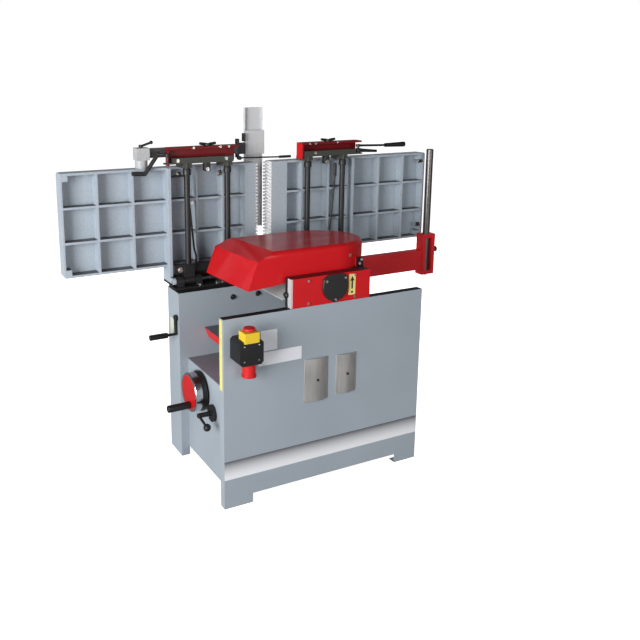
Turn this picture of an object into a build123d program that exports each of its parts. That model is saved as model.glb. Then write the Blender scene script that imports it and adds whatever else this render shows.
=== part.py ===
from build123d import *
import math
import os

os.makedirs("parts", exist_ok=True)

# A combined surface planer and thicknesser, with its two tables swung up behind the cutterhead and
# the chip hood laid over it. Millimetres. X is the feed direction, with the infeed end at +X, the
# operator stands at -Y, and +Z is up. X and Y are measured from below the middle of the cutterhead.

# Fits
running_fit = 0.05
slide_gap = 0.3
side_play = 4
reach = 60

# Cabinet sheet metal
sheet = 3
foot_height = 38
panel_left = -475
panel_width = 900
panel_front = -300
panel_depth = 34
panel_step = 24
left_foot = 121
right_foot = 108
column_width = 932
column_depth = 128
column_height = 730
column_foot = 37
side_left = -429
side_right = 379
deck_height = 440
deck_thickness = 4

panel_right = panel_left + panel_width
panel_inner = panel_front + sheet
panel_back = panel_front + panel_depth
panel_height = column_height + panel_step
column_half = column_width / 2
floor_top = foot_height + sheet
deck_top = deck_height + deck_thickness

# Hanger plates on the front panel: centre X, width, bottom, height
hanger_left = (-78, 110, 367, 175)
hanger_right = (59.5, 97, 375, 162)
hanger_bulge = 12
hanger_sheet = 2

# Cutterhead and the cheeks that carry it
cutter_rise = 66
drum_radius = 46
knife_radius = 48
knife_count = 3
knife_thickness = 3
knife_depth = 22
drum_gap = 10
drum_length = 410
shaft_radius = 17.5
shaft_setback = 4
bearing_radius = 31
bearing_width = 20
shaft_passage = 2
cheek_left = -193
cheek_right = 163
cheek_setback = 4
cheek_thickness = 44
cheek_rise = 48
cheek_tail = 6
cheek_tail_height = 134
cover_inset = 7
cover_thickness = 3
cap_radius = 58
cap_lobe = 12
cap_thickness = 9
screw_radius = 5
screw_head = 4
cap_screw_radius = 51
cap_screw_angles = (150, 38, 267)
cover_screw_margin = 13
cover_screw_inset = 73
rear_cheek_left = -165
rear_cheek_gap = 12
rear_cheek_thickness = 24
column_lead = 20

cutter_height = panel_height + cutter_rise
cheek_front = panel_front + cheek_setback
cheek_inner = cheek_front + cheek_thickness
cheek_top = cutter_height + cheek_rise
cover_front = cheek_front - cover_thickness
shaft_front = cheek_front + shaft_setback
drum_front = cheek_inner + drum_gap
drum_back = drum_front + drum_length
rear_cheek_front = drum_back + rear_cheek_gap
rear_cheek_back = rear_cheek_front + rear_cheek_thickness
column_front = rear_cheek_front - column_lead
column_back = column_front + column_depth

# Feed rollers, kickback fingers and chip deflector, with heights from the cutter's axis
roller_offset = 70
roller_radius = 18
roller_drop = 31
roller_front_gap = 12
roller_back_gap = 24
journal_radius = 10
journal_depth = 30
kickback_x = 132
kickback_drop = 14
kickback_radius = 8
finger_hub = 12
finger_length = 36
finger_width = 10
finger_pitch = 16
finger_tilt = 20
finger_inset = 27
deflector_low = (-205, -42)
deflector_high = (-62, 26)
deflector_split = -110
deflector_sheet = 3
deflector_margin = 9

roller_height = cutter_height - roller_drop
kickback_height = cutter_height - kickback_drop
finger_first = cheek_inner + finger_inset
finger_room = rear_cheek_front - cheek_inner - 2 * finger_inset
finger_count = round((finger_room + finger_pitch - finger_width) / finger_pitch)

# Chip hood, hinged on a rod at the infeed side, with heights from the cutter's axis
hood_gap = 4
hood_width = 388
hood_left = -349
hood_low = 9
hood_shoulder = (-309, 117)
hood_crown = (-234, 148)
hood_lip = (130, 48)
hood_lip_slope = 0.42
hood_right = 249
hood_wall = 2.5
hood_edge_round = 20
hood_drop = 0.045
hood_arch_gap = 12
hinge_rod_x = 150
hinge_rod_rise = 32
hinge_rod_radius = 6
hinge_rod_depth = 18
lug_half = 12
lug_height = 53
lug_front_length = 35
lug_rear_inset = 28
lug_gap = 2

hood_front = cheek_inner + hood_gap
hood_back = hood_front + hood_width
hood_round_x = hood_right - hood_width / 2
hinge_rod_height = cutter_height + hinge_rod_rise

# Belt drive behind the rear cheek
pulley_radius = 36
motor_pulley_radius = 60
pulley_width = 26
pulley_gap = 8
pulley_end_gap = 6
belt_thickness = 5
belt_width = 18
motor_x = 210
motor_rise = 139
motor_radius = 85
motor_gap = 40
motor_length = 240
motor_shaft_radius = 14
motor_foot_half = 60
motor_foot_length = 160
drive_cover_left = -62
drive_cover_right = 100
drive_cover_round = 36
drive_cover_rise = 52
drive_cover_wall = 2.5
drive_cover_gap = 2

motor_height = floor_top + motor_rise
motor_back = column_front - motor_gap
motor_front = motor_back - motor_length
drive_front = rear_cheek_back + drive_cover_gap
pulley_front = rear_cheek_back + pulley_gap
drive_back = pulley_front + pulley_width + pulley_end_gap
drive_cover_top = cutter_height + drive_cover_rise

# Thicknessing table and its lift
table_half = 355
table_front_gap = 2
table_back_gap = 6
table_top = 570
table_height = 48
table_plate = 20
table_wall = 14
table_bevel = 20
table_cross_ribs = (-200, -80, 80, 200)
table_long_rib_offset = 70
sleeve_radius = 65
piston_radius = 50
piston_bore = 30
piston_length = 370
sleeve_rise = 8
sleeve_base = 34
nut_height = 40
screw_shaft_radius = 15
screw_seat = 6
screw_length = 393

table_bottom = table_top - table_height
table_front = cheek_inner + table_front_gap
table_back = column_front - table_back_gap
lift_y = (table_front + table_back) / 2
piston_top = table_top - table_plate
piston_bottom = piston_top - piston_length
sleeve_top = deck_top + sleeve_rise

# Handwheel, its grip, and the lift's lock lever on the left side panel
wheel_y = 14
wheel_height = 356
wheel_radius = 82
wheel_gap = 7
wheel_width = 52
wheel_back_ring = 10
wheel_rim = 12
wheel_web = 14
wheel_hub = 24
wheel_shaft = 12
wheel_shaft_inside = 60
wheel_boss_radius = 22
wheel_boss_length = 26
grip_offset_y = -14
grip_offset_z = -48
grip_radius = 15
grip_length = 97
grip_stud = 5
lock_y = -100
lock_height = 303
lock_disc = 34
lock_disc_thickness = 12
lock_rod = 10
lock_reach = 68
lock_shaft = 8
lock_arm = (7, -65, -23)
lock_arm_radius = 5
lock_ball = 15

# Feed lever on the column's left face
feed_setback = 24
feed_down = 111
feed_hub = 14
feed_hub_length = 12
feed_drop = 70
feed_arm_radius = 6
feed_reach = 122
feed_grip_radius = 12
feed_grip_length = 77
feed_shaft = 6
feed_shaft_depth = 25

feed_y = column_front + feed_setback
feed_height = column_height - feed_down

# Hinges on top of the column that carry the surfacing tables
hinge_setback = 39
hinge_pin = 8
pin_overhang = 2
pin_short = 1
pedestal_gap = 2
pedestal_depth = 78
pedestal_plate = 8
pedestal_inner = 150
pedestal_margin = 4
pedestal_lug_radius = 20
pedestal_lug_width = 26
pedestal_web = 4
ear_thickness = 14
ear_radius = 18
ear_clearance = 2
ear_setback = 21
bar_inset = 64
inner_bar = 199
eye_half = 24
eye_gap = 4
eye_depth = 28
eye_rise = 72

pedestal_front = rear_cheek_back + pedestal_gap
pedestal_outer = column_half - pedestal_margin
pedestal_top = column_height + pedestal_plate
hinge_y = pedestal_front + hinge_setback
hinge_height = pedestal_top + ear_radius + ear_clearance
pin_inner = pedestal_inner - pin_overhang
pin_outer = pedestal_outer - pin_short
ear_outer = pedestal_outer
ear_inner = ear_outer - ear_thickness
ear_front = hinge_y + ear_setback
outer_bar = ear_inner - bar_inset
eye_room = eye_half + eye_gap
eye_top = hinge_height + eye_rise
pedestal_lugs = (
    (outer_bar + eye_room, ear_inner - eye_gap),
    (outer_bar - eye_room - pedestal_lug_width, outer_bar - eye_room),
    (inner_bar + eye_room, inner_bar + eye_room + pedestal_lug_width),
    (pedestal_inner, inner_bar - eye_room),
)

# Surfacing tables, raised: ribs by distance from the middle, and by height above the lower edge
table_end = 900
table_gap = 38.7
tooth_length = 9.9
tooth_pitch = 15
tooth_width = 8
surface_setback = 112
surface_plate = 12
rib_depth = 48
rib_thickness = 10
surface_rise = 55
surface_height = 424
surface_corner = 10
outfeed_strip = 88
infeed_strip = 115
corner_pad = 33
outfeed_ribs = (752, 603, 451, 321, 199)
infeed_ribs = (199, 340, 455, 624, 768)
level_ribs = (141, 283)

surface_y = hinge_y + surface_setback
plate_front = surface_y - surface_plate
rib_front = plate_front - rib_depth
surface_bottom = hinge_height + surface_rise
surface_top = surface_bottom + surface_height
tooth_tip = table_gap - tooth_length

# Carriers: round bars between a lower and an upper crossbar, with hinge eyes below
bar_radius = 12.5
bar_setback = 5
bar_rise = 42
low_bar_inner = 160
low_bar_setback = 5
low_bar_depth = 30
low_bar_rise = 32
low_bar_height = 36
top_bar_inner = 176
top_bar_lead = 11
top_bar_depth = 30
top_bar_height = 25
foot_block_lead = 5
foot_block_depth = 80
foot_block_half = 20
foot_block_height = 19
tongue_length = 34
tongue_height = 6
pivot_inset = 20
pivot_radius = 5
pivot_height = 44
release_rod = 4
release_rod_gap = 5
release_foot_x = 343
release_bend = 30
release_knee_x = 356
release_knee_rise = 200
release_top_x = 368
release_top_rise = 330
release_handle_rise = 374
release_handle_gap = 3
release_grip = 7
release_grip_length = 58

bar_y = hinge_y + bar_setback
bar_bottom = hinge_height + bar_rise
bar_end = ear_inner
low_bar_front = hinge_y + low_bar_setback
low_bar_bottom = hinge_height + low_bar_rise
top_bar_front = hinge_y - top_bar_lead
foot_block_front = hinge_y - foot_block_lead
foot_block_back = foot_block_front + foot_block_depth
carrier_top = surface_top + foot_block_height
pivot_x = bar_end + pivot_inset
pivot_y = top_bar_front + top_bar_depth / 2

# Covers over the upper crossbars, with wing knobs
outfeed_cover_inner = 145
outfeed_cover_reach = 11
infeed_cover_inner = 167
infeed_cover_reach = 36
cover_lead = 1
cover_depth = 53
outfeed_cover_height = 67
infeed_cover_height = 61
cover_sheet = 2.5
cover_lip = 8
cover_end = 8
cover_end_drop = 10
outfeed_knob_x = -280
infeed_knob_x = 316
knob_setback = 26
knob_hub = 14
knob_hub_height = 10
knob_span = 78
knob_wing = 12
knob_wing_rise = 0.5
knob_height = 22
knob_stud = 5

outfeed_cover_ends = (-bar_end - outfeed_cover_reach, -outfeed_cover_inner)
infeed_cover_ends = (infeed_cover_inner, bar_end + infeed_cover_reach)
cover_face = hinge_y - cover_lead
cover_back = cover_face + cover_depth
outfeed_cover_top = carrier_top + outfeed_cover_height
infeed_cover_top = carrier_top + infeed_cover_height
outfeed_end_front = cover_back - cover_depth / 2
knob_y = cover_face + knob_setback

# Levers on the pivot pins, the bent one by steps from its hub
lever_hub = 11
clamp_hub_bottom = 0.3
clamp_hub_height = 20
clamp_reach = 103
clamp_root = 9
clamp_tip = 6
clamp_drop = 8
adjust_hub_bottom = 26
adjust_hub_height = 12
adjust_rod = 5
adjust_rod_reach = 161
adjust_grip_root = 9
adjust_grip = 12
adjust_grip_length = 112
adjust_drop = 6
adjust_sway = 13
bent_radius = 8.5
bent_neck = 5
bent_knee = (-29, 31, 3)
bent_elbow = (-87, 31, -76)
bent_tip = (-142, 31, -72)

# Cutter guard on the outfeed table
post_x = -554
post_setback = 30
post_radius = 26
post_height = 34
block_left_half = 26
block_right_half = 29
block_half = 26
block_height = 50
arm_setback = 8
arm_thickness = 10
arm_lift = 5
arm_height = 41
clamp_plate = 11
clamp_plate_rise = 20
clamp_plate_height = 82
holder_gap = 31
holder_setback = 5
holder_rise = 35
holder_height = 49
holder_face = 6
holder_margin = 7
holder_face_rise = 30
holder_face_height = 105
holder_fin = 9
holder_fin_rise = 90
holder_fin_height = 35
post_knob_radius = 9
post_knob_height = 12
post_lever_length = 45
post_lever_rise = 14
post_lever_radius = 5
guard_left = -60
guard_width = 87
guard_gap = 5
guard_thickness = 14
guard_rise = 122
guard_length = 538
guard_wall = 2.5
guard_lever_lead = 10
guard_lever_rise = 20
guard_lever_droop = 5
guard_lever_rod = 3.5
guard_lever_length = 200
guard_hub = 9
guard_grip = 6
guard_grip_length = 58
guard_lever_pin = 4

post_y = surface_y - post_setback
block_left = post_x - block_left_half
block_right = post_x + block_right_half
arm_front = post_y + arm_setback
guard_front = surface_y + guard_gap
guard_bottom = surface_bottom + guard_rise
guard_right = guard_left + guard_width
face_left = guard_left - holder_margin
face_right = guard_right + holder_margin
arm_right = face_left - holder_gap
holder_front = arm_front + holder_setback
holder_back = guard_front - slide_gap
guard_lever_x = arm_right - clamp_plate / 2
guard_lever_y = holder_front - guard_lever_lead
guard_lever_height = surface_top + guard_lever_rise

# Fence carrier on the infeed table
fence_arm_gap = 8
fence_arm_overlap = 8
fence_arm_lead = 5
fence_arm_depth = 40
fence_arm_drop = 101
fence_arm_height = 99
fence_arm_wall = 4
fence_flange_height = 14
fence_flange_length = 16
bracket_half_width = 38
bracket_half = 25
bracket_drop = 27
bracket_height = 205
bracket_boss = 4
bracket_boss_radius = 12
bracket_cap = 20
bracket_window_gap = 2
fence_bar_setback = 15
fence_bar_radius = 17
fence_bar_drop = 6
fence_bar_length = 633
fence_bar_chamfer = 2
fence_knob_rise = 93
fence_knob_radius = 14
fence_knob_length = 22
fence_knob_stud = 5
fence_knob_gap = 1

fence_arm_left = ear_outer + fence_arm_gap
fence_arm_front = hinge_y - fence_arm_lead
fence_arm_back = fence_arm_front + fence_arm_depth
fence_arm_bottom = hinge_height - fence_arm_drop
fence_arm_top = fence_arm_bottom + fence_arm_height
fence_bar_x = table_end
fence_bar_y = hinge_y + fence_bar_setback
bracket_left = fence_bar_x - bracket_half_width
bracket_right = fence_bar_x + bracket_half_width
bracket_bottom = fence_arm_bottom - bracket_drop
bracket_top = bracket_bottom + bracket_height
fence_arm_right = bracket_left + fence_arm_overlap
fence_bar_bottom = bracket_bottom - fence_bar_drop
fence_knob_height = fence_arm_bottom + fence_knob_rise

# Switch on the front panel
switch_left = -448
switch_width = 95
switch_depth = 83
switch_bottom = 597
switch_height = 93
switch_chamfer = 10
housing_inset = 16
housing_width = 58
housing_depth = 52
housing_height = 32
housing_overhang = 9
housing_lip = 6
button_radius = 23
button_height = 10
button_stem = 8
button_travel = 4
inlet_inset = 56
inlet_setback = 41
inlet_radius = 28
inlet_wall = 3
inlet_length = 57
inlet_lip = 8

switch_top = switch_bottom + switch_height
switch_face = panel_front - switch_depth
housing_left = switch_left + housing_inset
housing_front = switch_face - housing_overhang
housing_top = switch_top + housing_height
button_x = housing_left + housing_width / 2
button_y = housing_front + housing_depth / 2
inlet_x = switch_left + inlet_inset
inlet_y = panel_front - inlet_setback

# The saved part stands with the middle of its box over the origin
knob_end = bracket_right + bracket_boss + slide_gap + fence_knob_length
origin_x = (knob_end - table_end) / 2
origin_y = (housing_front + guard_front + guard_thickness) / 2


def box(x0, x1, y0, y1, z0, z1):
    """A block between two corners, whichever way round they are given."""
    centre = Pos((x0 + x1) / 2, (y0 + y1) / 2, (z0 + z1) / 2)
    return centre * Box(abs(x1 - x0), abs(y1 - y0), abs(z1 - z0))


def rod(start, end, radius, end_radius=None):
    """A round bar or taper from one point to another."""
    way = Vector(*end) - Vector(*start)
    plane = Plane(origin=start, z_dir=way)
    base = (Align.CENTER, Align.CENTER, Align.MIN)
    if end_radius is None:
        return plane * Cylinder(radius, way.length, align=base)
    return plane * Cone(radius, end_radius, way.length, align=base)


def along_x(radius, x0, x1, y, z):
    return rod((x0, y, z), (x1, y, z), radius)


def along_y(radius, y0, y1, x, z):
    return rod((x, y0, z), (x, y1, z), radius)


def along_z(radius, z0, z1, x, y):
    return rod((x, y, z0), (x, y, z1), radius)


def bent_rod(points, radius):
    """Straight runs of round bar with ball-rounded corners."""
    bar = rod(points[0], points[1], radius)
    for corner, after in zip(points[1:], points[2:]):
        bar += Pos(*corner) * Sphere(radius)
        bar += rod(corner, after, radius)
    return bar


def side_plate(outline, y0, y1):
    """An outline drawn in X and Z, thickened from y0 to y1."""
    face = Plane.XZ.offset(-y0) * make_face(Polyline(*outline, close=True))
    return extrude(face, -(y1 - y0))


def on_head(point):
    """A point given as X and a height above the cutter's axis, in X and Z."""
    x, rise = point
    return x, cutter_height + rise


def save(name, shape):
    """Writes a node's solids, moved so that the middle of the whole part's box is over the origin."""
    solids = [Pos(-origin_x, -origin_y, 0) * solid for solid in shape.solids()]
    node = Compound(children=solids) if len(solids) > 1 else solids[0]
    export_step(node, f"parts/{name}.step")


# Cabinet


def front_panel():
    panel = box(panel_left, panel_right, panel_front, panel_back, 0, panel_height)
    panel -= box(
        panel_left + sheet, panel_right - sheet,
        panel_inner, panel_back + reach,
        sheet, panel_height - sheet,
    )
    panel -= box(
        panel_left + left_foot, panel_right - right_foot,
        panel_front - reach, panel_back + reach,
        0, foot_height,
    )
    return panel


def rear_column():
    column = box(-column_half, column_half, column_front, column_back, 0, column_height)
    inner_front = column_front + sheet
    inner_back = column_back - sheet
    inner_half = column_half - sheet
    column -= box(-inner_half, inner_half, inner_front, inner_back, floor_top, column_height - sheet)
    foot_inner = column_half - column_foot
    column -= box(-foot_inner, foot_inner, column_front - reach, column_back + reach, 0, foot_height)
    for side in (-1, 1):
        column -= box(
            side * foot_inner, side * inner_half, inner_front, inner_back, sheet, foot_height
        )
    slot_half = motor_pulley_radius
    slot_x = motor_x * (cutter_height - column_height) / (cutter_height - motor_height)
    column -= box(
        slot_x - slot_half, slot_x + slot_half,
        pulley_front, pulley_front + pulley_width,
        column_height - sheet, column_height,
    )
    column -= along_y(
        motor_shaft_radius + side_play, column_front, inner_front, motor_x, motor_height
    )
    column -= along_x(feed_shaft + running_fit, -column_half, -inner_half, feed_y, feed_height)
    return column


def side_panel(outer, inner):
    return box(outer, inner, panel_inner, column_front, foot_height, deck_height)


def left_side_panel():
    inner = side_left + sheet
    panel = side_panel(side_left, inner)
    panel += along_x(wheel_boss_radius, inner, inner + wheel_boss_length, wheel_y, wheel_height)
    panel += along_x(wheel_boss_radius, inner, inner + wheel_boss_length, lock_y, lock_height)
    boss_end = inner + wheel_boss_length
    panel -= along_x(wheel_shaft + running_fit, side_left, boss_end, wheel_y, wheel_height)
    panel -= along_x(lock_shaft + running_fit, side_left, boss_end, lock_y, lock_height)
    return panel


def deck_plate():
    deck = box(side_left, side_right, panel_inner, column_front, deck_height, deck_top)
    deck -= along_z(sleeve_radius + slide_gap, deck_height, deck_top, 0, lift_y)
    return deck


def floor_plate():
    return box(
        side_left + sheet, side_right - sheet, panel_inner, column_front, foot_height, floor_top
    )


def hanger_plate(centre, width, bottom, height):
    """A steel plate bowed out from the panel, its long edges resting on it."""
    left = centre - width / 2
    right = centre + width / 2
    crown = panel_front - hanger_bulge
    bow = ThreePointArc((left, panel_front), (centre, crown), (right, panel_front))
    outer = make_face(bow + Line((right, panel_front), (left, panel_front)))
    inner_bow = ThreePointArc(
        (left + hanger_sheet * 3, panel_front),
        (centre, crown + hanger_sheet),
        (right - hanger_sheet * 3, panel_front),
    )
    inner_line = Line((right - hanger_sheet * 3, panel_front), (left + hanger_sheet * 3, panel_front))
    inner = make_face(inner_bow + inner_line)
    return extrude(Pos(0, 0, bottom) * (outer - inner), height)


def hanger_plates():
    return Compound(children=[hanger_plate(*hanger_left), hanger_plate(*hanger_right)])


# Head


def front_cheek():
    cheek = box(cheek_left, cheek_right, cheek_front, cheek_inner, panel_height, cheek_top)
    cheek += box(
        cheek_left, cheek_right,
        panel_back, panel_back + cheek_tail,
        panel_height - cheek_tail_height, panel_height,
    )
    seat_back = shaft_front + shaft_passage + bearing_width
    cheek -= along_y(bearing_radius + running_fit, cheek_front, seat_back, 0, cutter_height)
    cheek -= along_y(shaft_radius + shaft_passage, seat_back, cheek_inner, 0, cutter_height)
    journal_end = cheek_inner - journal_depth - slide_gap
    for side in (-1, 1):
        cheek -= along_y(
            journal_radius + running_fit, journal_end, cheek_inner, side * roller_offset, roller_height
        )
    cheek -= along_y(
        kickback_radius + running_fit, cheek_inner - hinge_rod_depth, cheek_inner,
        kickback_x, kickback_height,
    )
    cheek -= along_y(
        hinge_rod_radius + running_fit, cheek_inner - hinge_rod_depth, cheek_inner,
        hinge_rod_x, hinge_rod_height,
    )
    return cheek


def rear_cheek():
    cheek = box(
        rear_cheek_left, cheek_right, rear_cheek_front, rear_cheek_back, column_height, cheek_top
    )
    seat_back = rear_cheek_front + shaft_passage + bearing_width
    cheek -= along_y(bearing_radius + running_fit, rear_cheek_front, seat_back, 0, cutter_height)
    cheek -= along_y(shaft_radius + shaft_passage, seat_back, rear_cheek_back, 0, cutter_height)
    for side in (-1, 1):
        cheek -= along_y(
            journal_radius + running_fit, rear_cheek_front, rear_cheek_back,
            side * roller_offset, roller_height,
        )
    rod_end = rear_cheek_front + hinge_rod_depth
    cheek -= along_y(
        kickback_radius + running_fit, rear_cheek_front, rod_end, kickback_x, kickback_height
    )
    cheek -= along_y(
        hinge_rod_radius + running_fit, rear_cheek_front, rod_end, hinge_rod_x, hinge_rod_height
    )
    return cheek


def cheek_cover():
    return box(
        cheek_left + cover_inset, cheek_right, cover_front, cheek_front, panel_height, cheek_top
    )


def cap_screw_places():
    """The cap's screws in X and Z."""
    places = []
    for angle in cap_screw_angles:
        turn = math.radians(angle)
        x = cap_screw_radius * math.cos(turn)
        places.append((x, cutter_height + cap_screw_radius * math.sin(turn)))
    return places


def bearing_cap():
    """A flange with three lobes for its screws, cut flat along the cheek's top."""
    edges = (Pos(0, cutter_height) * Circle(cap_radius)).edges()
    for place in cap_screw_places():
        edges += (Pos(*place) * Circle(cap_lobe)).edges()
    outline = make_hull(edges)
    front = cover_front - cap_thickness
    cap = extrude(Plane.XZ.offset(-front) * outline, -cap_thickness)
    cap = chamfer(cap.faces().sort_by(Axis.Y)[0].edges(), cap_thickness / 3)
    return cap - box(
        -reach - cap_radius, reach + cap_radius,
        front, cover_front,
        cheek_top, cheek_top + reach,
    )


def screws():
    """The dark cap screws of the bearing cap, the cheek cover and the hanger plates."""
    heads = []
    cap_face = cover_front - cap_thickness
    for x, z in cap_screw_places():
        heads.append(along_y(screw_radius, cap_face - screw_head, cap_face, x, z))
    for x in (cheek_left + cover_screw_inset, cheek_right - cover_screw_inset):
        for z in (panel_height + cover_screw_margin, cheek_top - cover_screw_margin):
            heads.append(along_y(screw_radius, cover_front - screw_head, cover_front, x, z))
    for centre, width, bottom, height in (hanger_left, hanger_right):
        crown = panel_front - hanger_bulge
        middle = bottom + height / 2
        heads.append(along_y(screw_radius, crown - screw_head, crown, centre, middle))
    return Compound(children=heads)


def bearing(front):
    ring = along_y(bearing_radius, front, front + bearing_width, 0, cutter_height)
    return ring - along_y(
        shaft_radius + running_fit, front, front + bearing_width, 0, cutter_height
    )


def head_bearings():
    front = bearing(shaft_front + shaft_passage)
    rear = bearing(rear_cheek_front + shaft_passage)
    return Compound(children=[front, rear])


def chip_deflector():
    """A slanted sheet that lifts the chips away from the work, narrower where the hood covers it."""
    low_x, low_z = on_head(deflector_low)
    high_x, high_z = on_head(deflector_high)
    split_z = low_z + (high_z - low_z) * (deflector_split - low_x) / (high_x - low_x)
    outline = [
        (low_x, low_z),
        (deflector_split, split_z),
        (deflector_split, split_z + deflector_sheet),
        (low_x, low_z + deflector_sheet),
    ]
    wide = side_plate(outline, cheek_inner, rear_cheek_front)
    inner_outline = [
        (deflector_split, split_z),
        (high_x, high_z),
        (high_x, high_z + deflector_sheet),
        (deflector_split, split_z + deflector_sheet),
    ]
    narrow_front = cheek_inner + deflector_margin
    narrow_back = hood_back - hood_wall - side_play
    return wide + side_plate(inner_outline, narrow_front, narrow_back)


def cheek_rod(radius, x, z):
    """A rod held in both cheeks."""
    front = cheek_inner - hinge_rod_depth + slide_gap
    back = rear_cheek_front + hinge_rod_depth - slide_gap
    return along_y(radius, front, back, x, z)


# Cutting and feed


def cutterhead():
    """The drum on its shaft, slotted for the knives, with the belt pulley at the back."""
    head = along_y(drum_radius, drum_front, drum_back, 0, cutter_height)
    head += along_y(shaft_radius, shaft_front, pulley_front + pulley_width, 0, cutter_height)
    head += along_y(pulley_radius, pulley_front, pulley_front + pulley_width, 0, cutter_height)
    for place in knife_places():
        head -= place * knife_blank()
    return head


def knife_blank():
    """One knife standing upright in its slot above the axis."""
    bottom = knife_radius - knife_depth
    return box(
        -knife_thickness / 2, knife_thickness / 2, drum_front, drum_back, bottom, knife_radius
    )


def knife_places():
    return [
        Pos(0, 0, cutter_height) * Rot(0, 360 / knife_count * number, 0)
        for number in range(knife_count)
    ]


def knives():
    return Compound(children=[place * knife_blank() for place in knife_places()])


def motor_pulley():
    back = pulley_front + pulley_width
    pulley = along_y(motor_pulley_radius, pulley_front, back, motor_x, motor_height)
    pulley += along_y(motor_shaft_radius, motor_back + slide_gap, pulley_front, motor_x, motor_height)
    return pulley


def drive_motor():
    motor = along_y(motor_radius, motor_front, motor_back, motor_x, motor_height)
    middle = (motor_front + motor_back) / 2
    motor += box(
        motor_x - motor_foot_half, motor_x + motor_foot_half,
        middle - motor_foot_length / 2, middle + motor_foot_length / 2,
        floor_top, motor_height,
    )
    return motor


def belt_outline(extra):
    small = Pos(0, cutter_height) * Circle(pulley_radius + extra)
    large = Pos(motor_x, motor_height) * Circle(motor_pulley_radius + extra)
    return make_hull(small.edges() + large.edges())


def drive_belt():
    loop = belt_outline(slide_gap + belt_thickness) - belt_outline(slide_gap)
    front = pulley_front + (pulley_width - belt_width) / 2
    return extrude(Plane.XZ.offset(-front) * loop, -belt_width)


def drive_cover():
    """A sheet hood over the upper pulley and the belt, open to the column below."""
    wall = drive_cover_wall
    cover = box(
        drive_cover_left, drive_cover_right, drive_front, drive_back, column_height, drive_cover_top
    )
    cover = fillet(cover.edges().filter_by(Axis.Y).group_by(Axis.Z)[-1], drive_cover_round)
    inside = box(
        drive_cover_left + wall, drive_cover_right - wall,
        drive_front + wall, drive_back - wall,
        column_height - reach, drive_cover_top - wall,
    )
    inside = fillet(inside.edges().filter_by(Axis.Y).group_by(Axis.Z)[-1], drive_cover_round - wall)
    cover -= inside
    return cover - along_y(
        shaft_radius + shaft_passage, drive_front, drive_front + wall, 0, cutter_height
    )


def feed_roller(side):
    x = side * roller_offset
    front = cheek_inner + roller_front_gap
    back = rear_cheek_front - roller_back_gap
    roller = along_y(roller_radius, front, back, x, roller_height)
    roller += along_y(
        journal_radius, cheek_inner - journal_depth, rear_cheek_back - slide_gap, x, roller_height
    )
    return roller


def kickback_finger(y):
    angle = math.radians(finger_tilt)
    tip = (
        kickback_x - finger_length * math.sin(angle),
        kickback_height - finger_length * math.cos(angle),
    )
    back = y + finger_width
    hub = along_y(finger_hub, y, back, kickback_x, kickback_height)
    outline = [
        (kickback_x - finger_hub * math.cos(angle), kickback_height + finger_hub * math.sin(angle)),
        tip,
        (kickback_x + finger_hub * math.cos(angle), kickback_height - finger_hub * math.sin(angle)),
    ]
    hub += side_plate(outline, y, back)
    return hub - along_y(kickback_radius + running_fit, y, back, kickback_x, kickback_height)


def kickback_fingers():
    fingers = [kickback_finger(finger_first + finger_pitch * step) for step in range(finger_count)]
    return Compound(children=fingers)


def hood_block(inset, lower):
    """The hood's outer form, shrunk by an inset and lengthened downwards by lower."""
    crown_x, crown_z = on_head(hood_crown)
    shoulder_x, shoulder_z = on_head(hood_shoulder)
    lip_x, lip_z = on_head(hood_lip)
    low_z = cutter_height + hood_low
    radius = hood_width / 2 - inset
    lean = math.hypot(shoulder_x - hood_left, shoulder_z - low_z) / (shoulder_z - low_z)
    side_inset = inset * lean
    outline = [
        (hood_left + side_inset - lower * 0.37, low_z - lower),
        (shoulder_x + side_inset * 0.86, shoulder_z - inset * 0.5),
        (crown_x + inset * 0.2, crown_z - inset),
        (hood_right + reach, crown_z - inset),
        (hood_right + reach, lip_z + (hood_right + reach - lip_x) * hood_lip_slope - lower),
        (lip_x, lip_z - lower),
    ]
    start = hood_front - reach
    depth = hood_width + 2 * reach
    face = Plane.XZ.offset(-start) * make_face(Polyline(*outline, close=True))
    prism = Pos(0, 0, hood_drop * reach) * extrude(face, depth, dir=(0, 1, -hood_drop))
    middle = hood_front + hood_width / 2
    plan = Pos(hood_round_x, middle) * Circle(radius)
    half_length = hood_round_x - hood_left + lower
    plan += Pos(hood_round_x - half_length / 2, middle) * Rectangle(half_length, 2 * radius)
    top = crown_z + reach
    return prism & extrude(plan, top)


def rounded_rim(block, radius):
    """The hood's form with its round end's top edge rounded."""
    rim = block.edges().filter_by(GeomType.ELLIPSE).sort_by(Axis.Z)[-1]
    return fillet(rim, radius)


def hood_shell():
    outer = hood_block(0, 0)
    inner = hood_block(hood_wall, reach)
    shell = rounded_rim(outer, hood_edge_round) - rounded_rim(inner, hood_edge_round - hood_wall)
    rear_lip = hood_back - 2 * hood_wall
    shell -= along_y(
        knife_radius + hood_arch_gap, rear_lip, hood_back + reach, 0, cutter_height
    )
    lug_top = hinge_rod_height + lug_height
    front = cheek_inner + lug_gap
    back = rear_cheek_front - lug_gap
    for start, end in ((front, front + lug_front_length), (hood_back - lug_rear_inset, back)):
        shell += box(
            hinge_rod_x - lug_half, hinge_rod_x + lug_half, start, end, hinge_rod_height, lug_top
        )
        shell += along_y(lug_half, start, end, hinge_rod_x, hinge_rod_height)
        shell -= along_y(
            hinge_rod_radius + running_fit, start, end, hinge_rod_x, hinge_rod_height
        )
    return shell


# Thicknessing lift


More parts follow.
